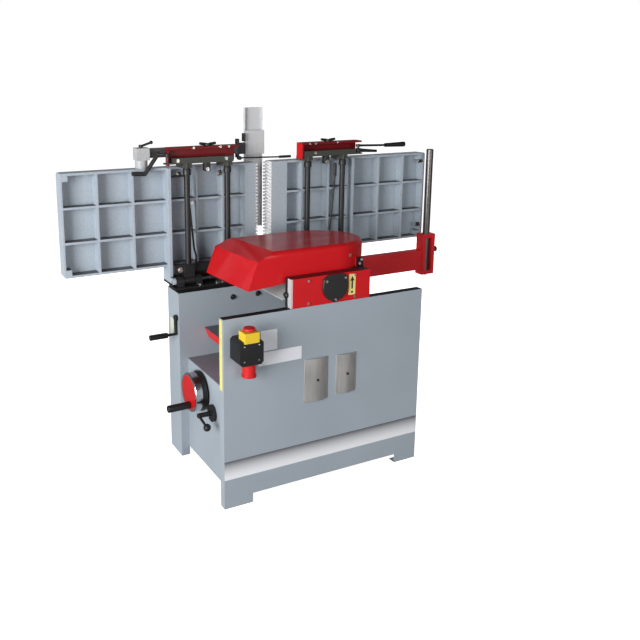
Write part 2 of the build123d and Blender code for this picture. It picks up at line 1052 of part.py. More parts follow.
def thickness_table():
    """A ribbed casting with bevelled ends, open below, on top of the lift piston."""
    outline = [
        (-table_half, table_top),
        (table_half, table_top),
        (table_half - table_bevel, table_bottom),
        (table_bevel - table_half, table_bottom),
    ]
    table = side_plate(outline, table_front, table_back)
    pocket_half = table_half - table_bevel - table_wall
    table -= box(
        -pocket_half, pocket_half,
        table_front + table_wall, table_back - table_wall,
        table_bottom, piston_top,
    )
    for x in table_cross_ribs:
        table += box(
            x - table_wall / 2, x + table_wall / 2,
            table_front + table_wall, table_back - table_wall,
            table_bottom, piston_top,
        )
    for y in (lift_y - table_long_rib_offset, lift_y + table_long_rib_offset):
        table += box(
            -pocket_half, pocket_half, y - table_wall / 2, y + table_wall / 2, table_bottom, piston_top
        )
    return table


def lift_piston():
    """A hollow column under the table, with the lift nut in its foot."""
    nut_top = piston_bottom + nut_height
    piston = along_z(piston_radius, piston_bottom, piston_top, 0, lift_y)
    piston -= along_z(piston_bore, nut_top, piston_top - table_wall, 0, lift_y)
    return piston - along_z(screw_shaft_radius + running_fit, piston_bottom, nut_top, 0, lift_y)


def lift_sleeve():
    sleeve = along_z(sleeve_radius, floor_top, sleeve_top, 0, lift_y)
    base_top = floor_top + sleeve_base
    sleeve -= along_z(piston_radius + running_fit, base_top, sleeve_top, 0, lift_y)
    seat = floor_top + screw_seat
    return sleeve - along_z(screw_shaft_radius + running_fit, seat, base_top, 0, lift_y)


def lift_screw():
    seat = floor_top + screw_seat
    return along_z(screw_shaft_radius, seat + slide_gap, seat + screw_length, 0, lift_y)


def handwheel():
    """A dished wheel: dial ring at the back, plain rim, flat face with a recess, and its shaft."""
    back = side_left - wheel_gap
    face = back - wheel_width
    rim = wheel_radius - wheel_back_ring / 5
    wheel = along_x(wheel_radius, back, back - wheel_back_ring, wheel_y, wheel_height)
    wheel += along_x(rim, back, face, wheel_y, wheel_height)
    wheel = chamfer(wheel.faces().sort_by(Axis.X)[0].edges(), wheel_back_ring / 3)
    web = face + wheel_web
    pocket = along_x(wheel_radius - wheel_rim, back, web, wheel_y, wheel_height)
    wheel -= pocket - along_x(wheel_hub, back, web, wheel_y, wheel_height)
    wheel += along_x(wheel_shaft, back, side_left + wheel_shaft_inside, wheel_y, wheel_height)
    grip_y = wheel_y + grip_offset_y
    grip_z = wheel_height + grip_offset_z
    stud_end = face - grip_length
    wheel += along_x(grip_stud, face + wheel_web, stud_end, grip_y, grip_z)
    return wheel


def handwheel_grip():
    start = side_left - wheel_gap - wheel_width - slide_gap
    end = start - grip_length
    grip_y = wheel_y + grip_offset_y
    grip_z = wheel_height + grip_offset_z
    grip = along_x(grip_radius, start, end, grip_y, grip_z)
    grip = fillet(grip.edges().filter_by(GeomType.CIRCLE), grip_radius / 3)
    bore_end = side_left - wheel_gap - wheel_width - grip_length
    return grip - along_x(grip_stud + running_fit, start, bore_end, grip_y, grip_z)


def lock_lever():
    """A hub on the side panel, a rod out to the left and a short cranked arm with a ball."""
    hub_start = side_left - slide_gap
    hub_end = hub_start - lock_disc_thickness
    rod_end = side_left - lock_reach
    lever = along_x(lock_disc, hub_start, hub_end, lock_y, lock_height)
    lever += along_x(lock_rod, hub_start, rod_end, lock_y, lock_height)
    shaft_end = side_left + sheet + wheel_boss_length
    lever += along_x(lock_shaft, hub_start, shaft_end, lock_y, lock_height)
    elbow = (rod_end + lock_rod / 2, lock_y, lock_height)
    ball = tuple(start + step for start, step in zip(elbow, lock_arm))
    lever += rod(elbow, ball, lock_arm_radius)
    lever += Pos(*ball) * Sphere(lock_ball)
    return lever


def feed_lever():
    face = -column_half
    hub_start = face - slide_gap
    hub_end = hub_start - feed_hub_length
    bottom = feed_height - feed_drop
    arm_x = (hub_start + hub_end) / 2
    tip = face - feed_reach
    lever = along_x(feed_hub, hub_start, hub_end, feed_y, feed_height)
    lever += along_x(feed_shaft, hub_start, face + feed_shaft_depth, feed_y, feed_height)
    lever += rod((arm_x, feed_y, feed_height), (arm_x, feed_y, bottom), feed_arm_radius)
    lever += Pos(arm_x, feed_y, bottom) * Sphere(feed_arm_radius)
    lever += along_x(feed_arm_radius, arm_x, tip, feed_y, bottom)
    lever += along_x(feed_grip_radius, tip + feed_grip_length, tip, feed_y, bottom)
    return lever


# Surfacing tables


def surface_table(side, strip, ribs):
    """A ribbed table on edge: working face to the back, ribs to the front, a toothed lip, a hinge ear."""
    inner = side * table_gap
    outer = side * table_end
    table = box(inner, outer, rib_front, surface_y, surface_bottom, surface_top)
    corners = table.edges().filter_by(Axis.Y).sort_by(Axis.X)
    far = corners[:2] if side < 0 else corners[-2:]
    table = fillet(far, surface_corner)
    half_rib = rib_thickness / 2
    stops = [side * x for x in (strip, *sorted(ribs), table_end - half_rib)]
    rises = (half_rib, *level_ribs, surface_height - half_rib)
    levels = [surface_bottom + rise for rise in rises]
    for near, away in zip(stops, stops[1:]):
        for low, high in zip(levels, levels[1:]):
            table -= box(
                near + side * half_rib, away - side * half_rib,
                rib_front, plate_front,
                low + half_rib, high - half_rib,
            )
    pad_inner = outer - side * corner_pad
    pad_outer = outer - side * rib_thickness
    for low, high in (
        (surface_bottom + rib_thickness, surface_bottom + corner_pad),
        (surface_top - corner_pad, surface_top - rib_thickness),
    ):
        table += box(pad_inner, pad_outer, rib_front, plate_front, low, high)
    for z in tooth_levels():
        table += box(inner, side * tooth_tip, rib_front, surface_y, z, z + tooth_width)
    return table + hinge_ear(side)


def tooth_levels():
    count = int(surface_height // tooth_pitch)
    first = surface_bottom + (surface_height - (count - 1) * tooth_pitch - tooth_width) / 2
    return [first + tooth_pitch * step for step in range(count)]


def hinge_ear(side):
    """A plate along the table's ribs that reaches down to the hinge pin."""
    inner = side * ear_inner
    outer = side * ear_outer
    ear = box(inner, outer, ear_front, rib_front, hinge_height - ear_radius, surface_top)
    ear += box(inner, outer, rib_front, plate_front, hinge_height - ear_radius, surface_bottom)
    ear += box(
        inner, outer, hinge_y, ear_front, hinge_height - ear_radius, hinge_height + ear_radius
    )
    ear += along_x(ear_radius, inner, outer, hinge_y, hinge_height)
    return ear - along_x(hinge_pin + running_fit, inner, outer, hinge_y, hinge_height)


def hinge_pedestal(side):
    """A foot plate on the column with four lugs that hold the hinge pin, and a web behind them."""
    back = pedestal_front + pedestal_depth
    inner = side * pedestal_inner
    outer = side * pedestal_outer
    pedestal = box(inner, outer, pedestal_front, back, column_height, pedestal_top)
    for near, away in pedestal_lugs:
        pedestal += box(
            side * near, side * away,
            hinge_y - pedestal_lug_radius, hinge_y + pedestal_lug_radius,
            column_height, hinge_height,
        )
        pedestal += along_x(pedestal_lug_radius, side * near, side * away, hinge_y, hinge_height)
    pedestal += box(
        inner, side * (ear_inner - eye_gap),
        back - pedestal_web, back,
        pedestal_top, low_bar_bottom - eye_gap,
    )
    return pedestal - along_x(hinge_pin + running_fit, inner, outer, hinge_y, hinge_height)


def hinge_pins():
    pins = []
    for side in (-1, 1):
        pins.append(along_x(hinge_pin, side * pin_inner, side * pin_outer, hinge_y, hinge_height))
    return Compound(children=pins)


def carrier(side):
    """Two round bars between crossbars, hinge eyes below, feet to the table above, a lever pin."""
    top_bar_back = top_bar_front + top_bar_depth
    low_bar_back = low_bar_front + low_bar_depth
    low_bar_top = low_bar_bottom + low_bar_height
    frame = box(
        side * low_bar_inner, side * bar_end,
        low_bar_front, low_bar_back,
        low_bar_bottom, low_bar_top,
    )
    frame += box(
        side * top_bar_inner, side * bar_end,
        top_bar_front, top_bar_back,
        carrier_top, carrier_top + top_bar_height,
    )
    frame += box(
        side * bar_end, side * (bar_end + tongue_length),
        top_bar_front, top_bar_back,
        carrier_top, carrier_top + tongue_height,
    )
    frame += along_z(
        pivot_radius, carrier_top, carrier_top + pivot_height, side * pivot_x, pivot_y
    )
    for bar_x in (inner_bar, outer_bar):
        x = side * bar_x
        frame += along_z(bar_radius, bar_bottom, carrier_top + top_bar_height, x, bar_y)
        frame += box(
            x - foot_block_half, x + foot_block_half,
            foot_block_front, foot_block_back,
            surface_top, carrier_top,
        )
        frame += along_x(ear_radius, x - eye_half, x + eye_half, hinge_y, hinge_height)
        frame += box(
            x - eye_half, x + eye_half,
            bar_y - eye_depth / 2, bar_y + eye_depth / 2,
            hinge_height, eye_top,
        )
        frame -= along_x(
            hinge_pin + running_fit, x - eye_half, x + eye_half, hinge_y, hinge_height
        )
    return frame + release_lever(side)


def release_lever(side):
    """A thin kinked rod up from the lower crossbar: bent over on the outfeed side, gripped on the infeed."""
    low_bar_top = low_bar_bottom + low_bar_height
    foot_y = low_bar_front + low_bar_depth / 2
    rod_y = rib_front - release_grip - release_rod_gap
    top = (side * release_top_x, rod_y, low_bar_top + release_top_rise)
    points = [
        (side * release_foot_x, foot_y, low_bar_top - release_rod),
        (side * release_foot_x, foot_y, low_bar_top + release_bend),
        (side * release_foot_x, rod_y, low_bar_top + 2 * release_bend),
        (side * release_knee_x, rod_y, low_bar_top + release_knee_rise),
        top,
    ]
    if side < 0:
        handle_height = low_bar_top + release_handle_rise
        points.append((side * release_top_x, rod_y, handle_height))
        points.append((side * (ear_inner - release_handle_gap), rod_y, handle_height))
        return bent_rod(points, release_rod)
    lever = bent_rod(points, release_rod)
    lever += rod(top, (top[0], rod_y, top[2] + release_grip_length), release_grip)
    return lever


def bar_cover(ends, cover_top, end_front, knob_x):
    """A folded sheet cover over the upper crossbar: top, back, a thick left end and a front lip."""
    left, right = ends
    top_under = cover_top - cover_sheet
    end_bottom = carrier_top - cover_end_drop
    cover = box(left, right, cover_face, cover_back, top_under, cover_top)
    cover += box(left, right, cover_back - cover_sheet, cover_back, carrier_top, cover_top)
    cover += box(left, left + cover_end, end_front, cover_back, end_bottom, cover_top)
    cover += box(left, right, cover_face, cover_face + cover_sheet, cover_top - cover_lip, cover_top)
    return cover - along_z(knob_stud + running_fit, top_under, cover_top, knob_x, knob_y)


def wing_knob(x, cover_top):
    """A round hub with two upturned wings and a threaded stud."""
    base = cover_top + slide_gap
    hub_top = base + knob_hub_height
    knob = along_z(knob_hub, base, hub_top, x, knob_y)
    for side in (-1, 1):
        root = (x + side * knob_hub / 2, knob_y, base + knob_wing / 2 + knob_wing_rise)
        tip = (x + side * (knob_span / 2 - knob_wing / 2), knob_y, base + knob_height - knob_wing)
        knob += rod(root, tip, knob_wing / 2)
        knob += Pos(*tip) * Sphere(knob_wing / 2)
    stud_end = cover_top - cover_sheet - knob_stud
    return knob + along_z(knob_stud, stud_end, base, x, knob_y)


# Levers and guard


def lever_eye(side, bottom, height):
    """A hub on a carrier's pivot pin, and the tool that bores it."""
    x = side * pivot_x
    hub = along_z(lever_hub, bottom, bottom + height, x, pivot_y)
    bore = along_z(pivot_radius + running_fit, bottom, bottom + height, x, pivot_y)
    return hub, bore


def clamp_lever():
    bottom = carrier_top + tongue_height + clamp_hub_bottom
    hub, bore = lever_eye(1, bottom, clamp_hub_height)
    middle = bottom + clamp_hub_height / 2
    tip = (pivot_x + clamp_reach, pivot_y, middle - clamp_drop)
    lever = hub + rod((pivot_x, pivot_y, middle), tip, clamp_root, clamp_tip)
    return lever - bore


def adjust_lever():
    bottom = carrier_top + tongue_height + adjust_hub_bottom
    hub, bore = lever_eye(1, bottom, adjust_hub_height)
    middle = bottom + adjust_hub_height / 2
    knee = (pivot_x + adjust_rod_reach, pivot_y + adjust_sway, middle - adjust_drop)
    end = (knee[0] + adjust_grip_length, knee[1], knee[2])
    lever = hub + rod((pivot_x, pivot_y, middle), knee, adjust_rod)
    lever += rod(knee, end, adjust_grip_root, adjust_grip)
    return lever - bore


def bent_lever():
    bottom = carrier_top + tongue_height + adjust_hub_bottom
    hub, bore = lever_eye(-1, bottom, adjust_hub_height)
    middle = bottom + adjust_hub_height / 2
    centre = Vector(-pivot_x, pivot_y, middle)
    knee, elbow, tip = [tuple(centre + Vector(*step)) for step in (bent_knee, bent_elbow, bent_tip)]
    lever = hub + rod(tuple(centre), knee, bent_neck)
    lever += Pos(*knee) * Sphere(bent_radius)
    lever += bent_rod([knee, elbow, tip], bent_radius)
    return lever - bore


def guard_arm():
    """A post on the outfeed table, its clamp block, and the arm that holds the guard."""
    post_top = surface_top + post_height
    block_top = post_top + block_height
    arm = along_z(post_radius, surface_top, post_top, post_x, post_y)
    arm += box(block_left, block_right, post_y - block_half, post_y + block_half, post_top, block_top)
    arm += box(
        block_right, arm_right,
        arm_front, arm_front + arm_thickness,
        post_top + arm_lift, post_top + arm_lift + arm_height,
    )
    for left, right, front, rise, height in (
        (arm_right - clamp_plate, arm_right, holder_front, clamp_plate_rise, clamp_plate_height),
        (arm_right, face_left, holder_front, holder_rise, holder_height),
        (face_left, face_right, holder_back - holder_face, holder_face_rise, holder_face_height),
        (face_left - holder_fin, face_left, holder_front, holder_fin_rise, holder_fin_height),
    ):
        bottom = surface_top + rise
        arm += box(left, right, front, holder_back, bottom, bottom + height)
    arm += along_y(
        guard_lever_pin, guard_lever_y - guard_hub, holder_front, guard_lever_x, guard_lever_height
    )
    arm -= along_z(
        post_knob_radius / 2 + running_fit, block_top - post_knob_height, block_top, post_x, post_y
    )
    return arm


def post_lever():
    block_top = surface_top + post_height + block_height
    base = block_top + slide_gap
    top = base + post_knob_height
    lever = along_z(post_knob_radius, base, top, post_x, post_y)
    lever += along_z(
        post_knob_radius / 2, block_top - post_knob_height + slide_gap, base, post_x, post_y
    )
    middle = base + post_knob_height / 2
    tip = (post_x + post_lever_length, post_y, middle + post_lever_rise)
    lever += rod((post_x, post_y, middle), tip, post_lever_radius)
    lever += Pos(*tip) * Sphere(post_lever_radius * 1.5)
    return lever


def guard():
    """A long aluminium channel that shields the knives beside the work, open towards the table."""
    back = guard_front + guard_thickness
    top = guard_bottom + guard_length
    bar = box(guard_left, guard_right, guard_front, back, guard_bottom, top)
    bar -= box(
        guard_left + guard_wall, guard_right - guard_wall,
        guard_front, back - guard_wall,
        guard_bottom, top,
    )
    return bar


def guard_lever():
    start = (guard_lever_x, guard_lever_y, guard_lever_height)
    droop = guard_lever_height - guard_lever_droop
    knee = (guard_lever_x + guard_lever_length, guard_lever_y, droop)
    end = (knee[0] + guard_grip_length, guard_lever_y, droop)
    front = guard_lever_y - guard_hub
    back = guard_lever_y + guard_hub
    lever = along_y(guard_hub, front, back, guard_lever_x, guard_lever_height)
    lever += rod(start, knee, guard_lever_rod)
    lever += rod(knee, end, guard_grip)
    return lever - along_y(
        guard_lever_pin + running_fit, front, back, guard_lever_x, guard_lever_height
    )


# Fence carrier


def fence_arm():
    """A box arm from the infeed table's hinge ear, with the bracket that clamps the fence bar."""
    arm = box(
        fence_arm_left, fence_arm_right,
        fence_arm_front, fence_arm_back,
        fence_arm_bottom, fence_arm_top,
    )
    arm -= box(
        fence_arm_left, fence_arm_right,
        fence_arm_front + fence_arm_wall, fence_arm_back - fence_arm_wall,
        fence_arm_bottom + fence_arm_wall, fence_arm_top - fence_arm_wall,
    )
    arm += box(
        ear_outer, ear_outer + fence_flange_length,
        fence_arm_front, fence_arm_back,
        fence_arm_top - fence_flange_height, fence_arm_top,
    )
    arm += box(
        bracket_left, bracket_right,
        fence_bar_y - bracket_half, fence_bar_y + bracket_half,
        bracket_bottom, bracket_top,
    )
    boss_end = bracket_right + bracket_boss
    arm += along_x(bracket_boss_radius, bracket_right, boss_end, fence_bar_y, fence_knob_height)
    arm -= along_z(
        fence_bar_radius + running_fit, bracket_bottom, bracket_top, fence_bar_x, fence_bar_y
    )
    window_half = fence_bar_radius + bracket_window_gap
    arm -= box(
        fence_bar_x - window_half, fence_bar_x + window_half,
        fence_bar_y - bracket_half, fence_bar_y,
        bracket_bottom + bracket_cap, bracket_top - bracket_cap,
    )
    stud_start = fence_bar_x + fence_bar_radius
    arm -= along_x(
        fence_knob_stud + running_fit, stud_start, boss_end, fence_bar_y, fence_knob_height
    )
    return arm


def fence_bar():
    bar = along_z(
        fence_bar_radius, fence_bar_bottom, fence_bar_bottom + fence_bar_length, fence_bar_x, fence_bar_y
    )
    return chamfer(bar.edges().filter_by(GeomType.CIRCLE), fence_bar_chamfer)


def fence_knob():
    start = bracket_right + bracket_boss + slide_gap
    knob = rod(
        (start, fence_bar_y, fence_knob_height),
        (knob_end, fence_bar_y, fence_knob_height),
        fence_knob_radius * 0.7,
        fence_knob_radius,
    )
    stud = fence_bar_x + fence_bar_radius + fence_knob_gap
    return knob + along_x(fence_knob_stud, stud, start, fence_bar_y, fence_knob_height)


# Switch


def switch_box():
    right = switch_left + switch_width
    body = box(switch_left, right, switch_face, panel_front, switch_bottom, switch_top)
    body = chamfer(body.edges().filter_by(Axis.Y), switch_chamfer)
    stem_bottom = switch_top - button_travel - slide_gap
    return body - along_z(button_stem + running_fit, stem_bottom, switch_top, button_x, button_y)


def switch_housing():
    """A cover on the box's top that overhangs its front, with the stop button's guide in it."""
    right = housing_left + housing_width
    back = housing_front + housing_depth
    housing = box(housing_left, right, housing_front, back, switch_top, housing_top)
    housing += box(
        housing_left, right, housing_front, switch_face, switch_top - housing_lip, switch_top
    )
    return housing - along_z(button_stem + running_fit, switch_top, housing_top, button_x, button_y)


def stop_button():
    head_bottom = housing_top + button_travel + slide_gap
    head = along_z(button_radius, head_bottom, head_bottom + button_height, button_x, button_y)
    head = fillet(head.faces().sort_by(Axis.Z)[-1].edges(), button_height / 2)
    return head + along_z(button_stem, switch_top, head_bottom, button_x, button_y)


def power_inlet():
    """A round appliance inlet under the switch box, open at the bottom."""
    bottom = switch_bottom - inlet_length
    inlet = along_z(inlet_radius - inlet_wall, bottom, switch_bottom, inlet_x, inlet_y)
    inlet += along_z(inlet_radius, bottom, bottom + inlet_lip, inlet_x, inlet_y)
    socket = inlet_radius - 2 * inlet_wall
    return inlet - along_z(socket, bottom, bottom + inlet_length / 2, inlet_x, inlet_y)


save("front_panel", front_panel())
save("rear_column", rear_column())
save("left_side_panel", left_side_panel())
save("right_side_panel", side_panel(side_right - sheet, side_right))
save("deck_plate", deck_plate())
save("floor_plate", floor_plate())
save("hanger_plates", hanger_plates())
save("screws", screws())

save("front_cheek", front_cheek())
save("rear_cheek", rear_cheek())
save("cheek_cover", cheek_cover())
save("bearing_cap", bearing_cap())
save("head_bearings", head_bearings())
save("chip_deflector", chip_deflector())
save("kickback_shaft", cheek_rod(kickback_radius, kickback_x, kickback_height))
save("hood_rod", cheek_rod(hinge_rod_radius, hinge_rod_x, hinge_rod_height))

save("cutterhead", cutterhead())
save("knives", knives())
save("motor_pulley", motor_pulley())
save("drive_motor", drive_motor())
save("drive_belt", drive_belt())
save("drive_cover", drive_cover())
save("infeed_roller", feed_roller(1))
save("outfeed_roller", feed_roller(-1))
save("kickback_fingers", kickback_fingers())
save("hood_shell", hood_shell())

save("thickness_table", thickness_table())
save("lift_piston", lift_piston())
save("lift_sleeve", lift_sleeve())
save("lift_screw", lift_screw())
save("handwheel", handwheel())
save("handwheel_grip", handwheel_grip())
save("lock_lever", lock_lever())
save("feed_lever", feed_lever())

save("outfeed_table", surface_table(-1, outfeed_strip, outfeed_ribs))
save("infeed_table", surface_table(1, infeed_strip, infeed_ribs))
save("left_pedestal", hinge_pedestal(-1))
save("right_pedestal", hinge_pedestal(1))
save("hinge_pins", hinge_pins())
save("outfeed_carrier", carrier(-1))
save("infeed_carrier", carrier(1))
save(
    "outfeed_cover",
    bar_cover(outfeed_cover_ends, outfeed_cover_top, outfeed_end_front, outfeed_knob_x),
)
save("infeed_cover", bar_cover(infeed_cover_ends, infeed_cover_top, cover_face, infeed_knob_x))
save("outfeed_wing_knob", wing_knob(outfeed_knob_x, outfeed_cover_top))
save("infeed_wing_knob", wing_knob(infeed_knob_x, infeed_cover_top))

save("clamp_lever", clamp_lever())
save("adjust_lever", adjust_lever())
save("bent_lever", bent_lever())
save("guard_arm", guard_arm())
save("post_lever", post_lever())
save("guard", guard())
save("guard_lever", guard_lever())
save("fence_arm", fence_arm())
save("fence_bar", fence_bar())
save("fence_knob", fence_knob())

save("switch_box", switch_box())
save("switch_housing", switch_housing())
save("stop_button", stop_button())
save("power_inlet", power_inlet())
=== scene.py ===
# %% [markdown]
# This lesson dresses a combined surface planer and thicknesser. The imported model already holds every solid
# at its real size and place, so the lesson only adds finishes and the small pieces that a drawing leaves
# out. The frame is loaded first, and its box is kept, so that it can be printed beside the dressed machine's
# box at the end.

# %% The imported machine
import math

import bmesh
import bpy
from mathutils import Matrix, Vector


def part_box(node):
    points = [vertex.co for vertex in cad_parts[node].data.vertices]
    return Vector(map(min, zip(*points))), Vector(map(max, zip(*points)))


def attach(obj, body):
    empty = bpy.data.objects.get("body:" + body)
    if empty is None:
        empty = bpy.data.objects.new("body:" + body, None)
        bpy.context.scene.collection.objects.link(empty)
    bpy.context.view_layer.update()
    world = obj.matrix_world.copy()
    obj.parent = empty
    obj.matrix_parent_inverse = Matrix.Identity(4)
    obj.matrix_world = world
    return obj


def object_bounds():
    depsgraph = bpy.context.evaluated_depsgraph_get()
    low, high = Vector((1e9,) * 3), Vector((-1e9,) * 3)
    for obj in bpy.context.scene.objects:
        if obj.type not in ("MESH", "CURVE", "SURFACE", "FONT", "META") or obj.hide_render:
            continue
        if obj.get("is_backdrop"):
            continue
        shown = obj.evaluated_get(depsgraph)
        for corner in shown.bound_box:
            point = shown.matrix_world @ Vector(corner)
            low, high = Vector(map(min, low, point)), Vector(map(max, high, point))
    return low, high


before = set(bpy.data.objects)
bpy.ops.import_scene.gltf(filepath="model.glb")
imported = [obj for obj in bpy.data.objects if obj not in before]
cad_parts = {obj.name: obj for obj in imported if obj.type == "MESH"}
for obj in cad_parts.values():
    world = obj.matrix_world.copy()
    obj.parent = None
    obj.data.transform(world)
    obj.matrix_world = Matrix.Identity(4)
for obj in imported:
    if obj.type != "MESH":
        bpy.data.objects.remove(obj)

cad_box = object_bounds()

# %% [markdown]
# Every place in this lesson is measured from a solid that carries the piece. Blender counts in metres,
# while a machine is drawn in millimetres, so one short name turns the drawing's numbers into Blender's.

# %% Measuring from the solids
MM = 0.001
X_AXIS = Vector((1.0, 0.0, 0.0))
Y_AXIS = Vector((0.0, 1.0, 0.0))
Z_AXIS = Vector((0.0, 0.0, 1.0))


def low(node):
    """The lowest corner of a solid, in metres."""
    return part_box(node)[0]


def high(node):
    """The highest corner of a solid, in metres."""
    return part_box(node)[1]


def middle(node):
    """The centre of a solid's box, in metres."""
    return (low(node) + high(node)) / 2


def span(node):
    """The size of a solid's box, in metres."""
    return high(node) - low(node)


print("front panel stands", round(high("front_panel").z / MM), "mm high")

# %% [markdown]
# The camera stands to the left of the machine and a little above the tables. Its focal length and its
# off-centre middle were found by matching corners of the machine. The picture is cropped unevenly, so the
# lens is shifted instead of being turned, which keeps upright edges as they are.

# %% Camera
PICTURE_PX = 640
FOCAL_PX = 758.38
MIDDLE_PX = (254.36, 233.91)
SENSOR_MM = 36.0
CAMERA_PLACE = (-1.58187, -2.65901, 1.62418)
CAMERA_YAW = 26.901
CAMERA_PITCH = 12.024

scene = bpy.context.scene
camera_data = bpy.data.cameras.new("camera")
camera_data.sensor_width = SENSOR_MM
camera_data.lens = FOCAL_PX / PICTURE_PX * SENSOR_MM
camera_data.shift_x = 0.5 - MIDDLE_PX[0] / PICTURE_PX
camera_data.shift_y = MIDDLE_PX[1] / PICTURE_PX - 0.5
camera = bpy.data.objects.new("camera", camera_data)
camera.location = CAMERA_PLACE
camera.rotation_euler = (math.radians(90 - CAMERA_PITCH), 0, math.radians(-CAMERA_YAW))
scene.collection.objects.link(camera)
scene.camera = camera
print("lens", round(camera_data.lens, 2), "mm")

# %% [markdown]
# Colours are given in the usual 0 to 255 numbers, but shaders count light, which is not the same scale. A
# short function does the conversion. The next helpers wire nodes: one feeds a socket with either a number or
# another socket, one makes a node group with named sockets, and the others add the nodes that come up often.

# %% Helpers for nodes
SHADER = "ShaderNodeTree"
SHAPER = "GeometryNodeTree"
COLOUR = "NodeSocketColor"
NUMBER = "NodeSocketFloat"
VECTOR = "NodeSocketVector"
GEOMETRY = "NodeSocketGeometry"
MATERIAL = "NodeSocketMaterial"
SOCKET_OF = {int: "NodeSocketInt", float: NUMBER, tuple: VECTOR}


def shade(red, green, blue):
    """A colour from 0 to 255 a channel, as the light values that a shader takes."""
    linear = []
    for channel in (red, green, blue):
        share = channel / 255
        linear.append(share / 12.92 if share <= 0.04045 else ((share + 0.055) / 1.055) ** 2.4)
    return (*linear, 1.0)


def feed(tree, source, socket):
    """Gives a socket its value, or links it to another node's output."""
    if isinstance(source, bpy.types.NodeSocket):
        tree.links.new(source, socket)
    else:
        socket.default_value = source


def new_group(name, kind, inputs, outputs):
    """A node group, with the sockets of its two ends. An input has its first value, or only its type."""
    group = bpy.data.node_groups.new(name, kind)
    for label, value in inputs.items():
        only_type = isinstance(value, str)
        socket_type = value if only_type else SOCKET_OF[type(value)]
        socket = group.interface.new_socket(label, in_out="INPUT", socket_type=socket_type)
        if not only_type:
            socket.default_value = value
    for label, socket_type in outputs.items():
        group.interface.new_socket(label, in_out="OUTPUT", socket_type=socket_type)
    return group, group.nodes.new("NodeGroupInput").outputs, group.nodes.new("NodeGroupOutput").inputs


def add(tree, kind, inputs, **settings):
    """A node with its settings, and its inputs fed by name or by number."""
    node = tree.nodes.new(kind)
    for label, value in settings.items():
        setattr(node, label, value)
    for label, source in inputs.items():
        feed(tree, source, node.inputs[label])
    return node


def place_group(tree, group, inputs):
    """A shared group, placed in a material with its own values."""
    return add(tree, "ShaderNodeGroup", inputs, node_tree=group).outputs


def math_node(tree, operation, first, second=0.5):
    """The result of one sum."""
    return add(tree, "ShaderNodeMath", {0: first, 1: second}, operation=operation).outputs[0]


def times(tree, first, second):
    """Two values multiplied. Two masks multiplied are 1 where both are."""
    return math_node(tree, "MULTIPLY", first, second)


def vector_math(tree, operation, first, second=(0.0, 0.0, 0.0), output="Vector"):
    """The result of one sum of vectors, which is a vector or a plain value."""
    return add(tree, "ShaderNodeVectorMath", {0: first, 1: second}, operation=operation).outputs[output]


def spread(tree, value, lowest, highest, start=0.0, end=1.0):
    """A value stretched from start..end to lowest..highest."""
    inputs = {"Value": value, "From Min": start, "From Max": end, "To Min": lowest, "To Max": highest}
    return add(tree, "ShaderNodeMapRange", inputs).outputs["Result"]


def mix_colours(tree, share, first, second):
    """Two colours, mixed by a share from 0 to 1."""
    return add(tree, "ShaderNodeMix", {0: share, 6: first, 7: second}, data_type="RGBA").outputs[2]


def mix_values(tree, share, first, second):
    """Two values, mixed by a share from 0 to 1."""
    return add(tree, "ShaderNodeMix", {0: share, 2: first, 3: second}, data_type="FLOAT").outputs[0]


def object_place(tree):
    """Where a point lies on its piece, in metres."""
    return tree.nodes.new("ShaderNodeTexCoord").outputs["Object"]


def split_height(tree, place):
    """The height of a place or a direction."""
    return add(tree, "ShaderNodeSeparateXYZ", {0: place}).outputs["Z"]


def noise(tree, where, scale, detail):
    """Soft noise, so many times a metre."""
    return add(tree, "ShaderNodeTexNoise", {"Vector": where, "Scale": scale, "Detail": detail}).outputs["Fac"]


def camera_rays(tree):
    """1 for what the camera sees itself, 0 for what lights the machine."""
    return tree.nodes.new("ShaderNodeLightPath").outputs["Is Camera Ray"]


def tell(tree):
    """Prints how large a tree has grown."""
    print("tree", tree.name, "has", len(tree.nodes), "nodes")


print("a middle grey of 128 is", round(shade(128, 128, 128)[0], 3), "as light")

# %% [markdown]
# A product picture is lit from the front by large soft lamps, in a room with a dark ceiling, so that gloss
# shows saturated and upward faces stay dark. The background is bleached to white afterwards. Light Path
# does the same here: the camera sees a white world, and the machine sees a dim one that fades upwards. The
# lamps behind the machine only fill its back, so they aren't mirrored.

# %% Studio
ROOM_LIGHT = 0.26
CEILING_LIGHT = 0.08
CEILING_FROM = 0.6
WHITE = (1.0, 1.0, 1.0, 1.0)
AIM = Vector((0.0, 0.0, 0.8))
LAMPS = (
    # name, place, size, power in watts, whether it is mirrored
    ("key_lamp", (-4.5, -2.4, 1.6), 2.4, 270.0, True),
    ("front_lamp", (0.8, -4.8, 1.6), 2.6, 58.0, True),
    ("back_lamp_left", (-2.8, 3.6, 2.2), 2.4, 80.0, False),
    ("back_lamp_right", (3.0, 3.2, 2.2), 2.4, 80.0, False),
)

scene.view_settings.view_transform = "Standard"
world = bpy.data.worlds.new("studio_room")
world.use_nodes = True
room = world.node_tree
heading = room.nodes.new("ShaderNodeTexCoord").outputs["Generated"]
dimmed = spread(room, split_height(room, heading), ROOM_LIGHT, CEILING_LIGHT, 0.0, CEILING_FROM)
sky = room.nodes["Background"]
sky.inputs["Color"].default_value = WHITE
feed(room, spread(room, camera_rays(room), dimmed, 1.0), sky.inputs["Strength"])
scene.world = world
for lamp_name, place, size, power, mirrored in LAMPS:
    lamp_data = bpy.data.lights.new(lamp_name, "AREA")
    lamp_data.energy = power
    lamp_data.size = size
    lamp = bpy.data.objects.new(lamp_name, lamp_data)
    lamp.location = place
    lamp.rotation_euler = (AIM - Vector(place)).to_track_quat("-Z", "Y").to_euler()
    lamp.visible_glossy = mirrored
    scene.collection.objects.link(lamp)
print("studio has", len(LAMPS), "lamps")

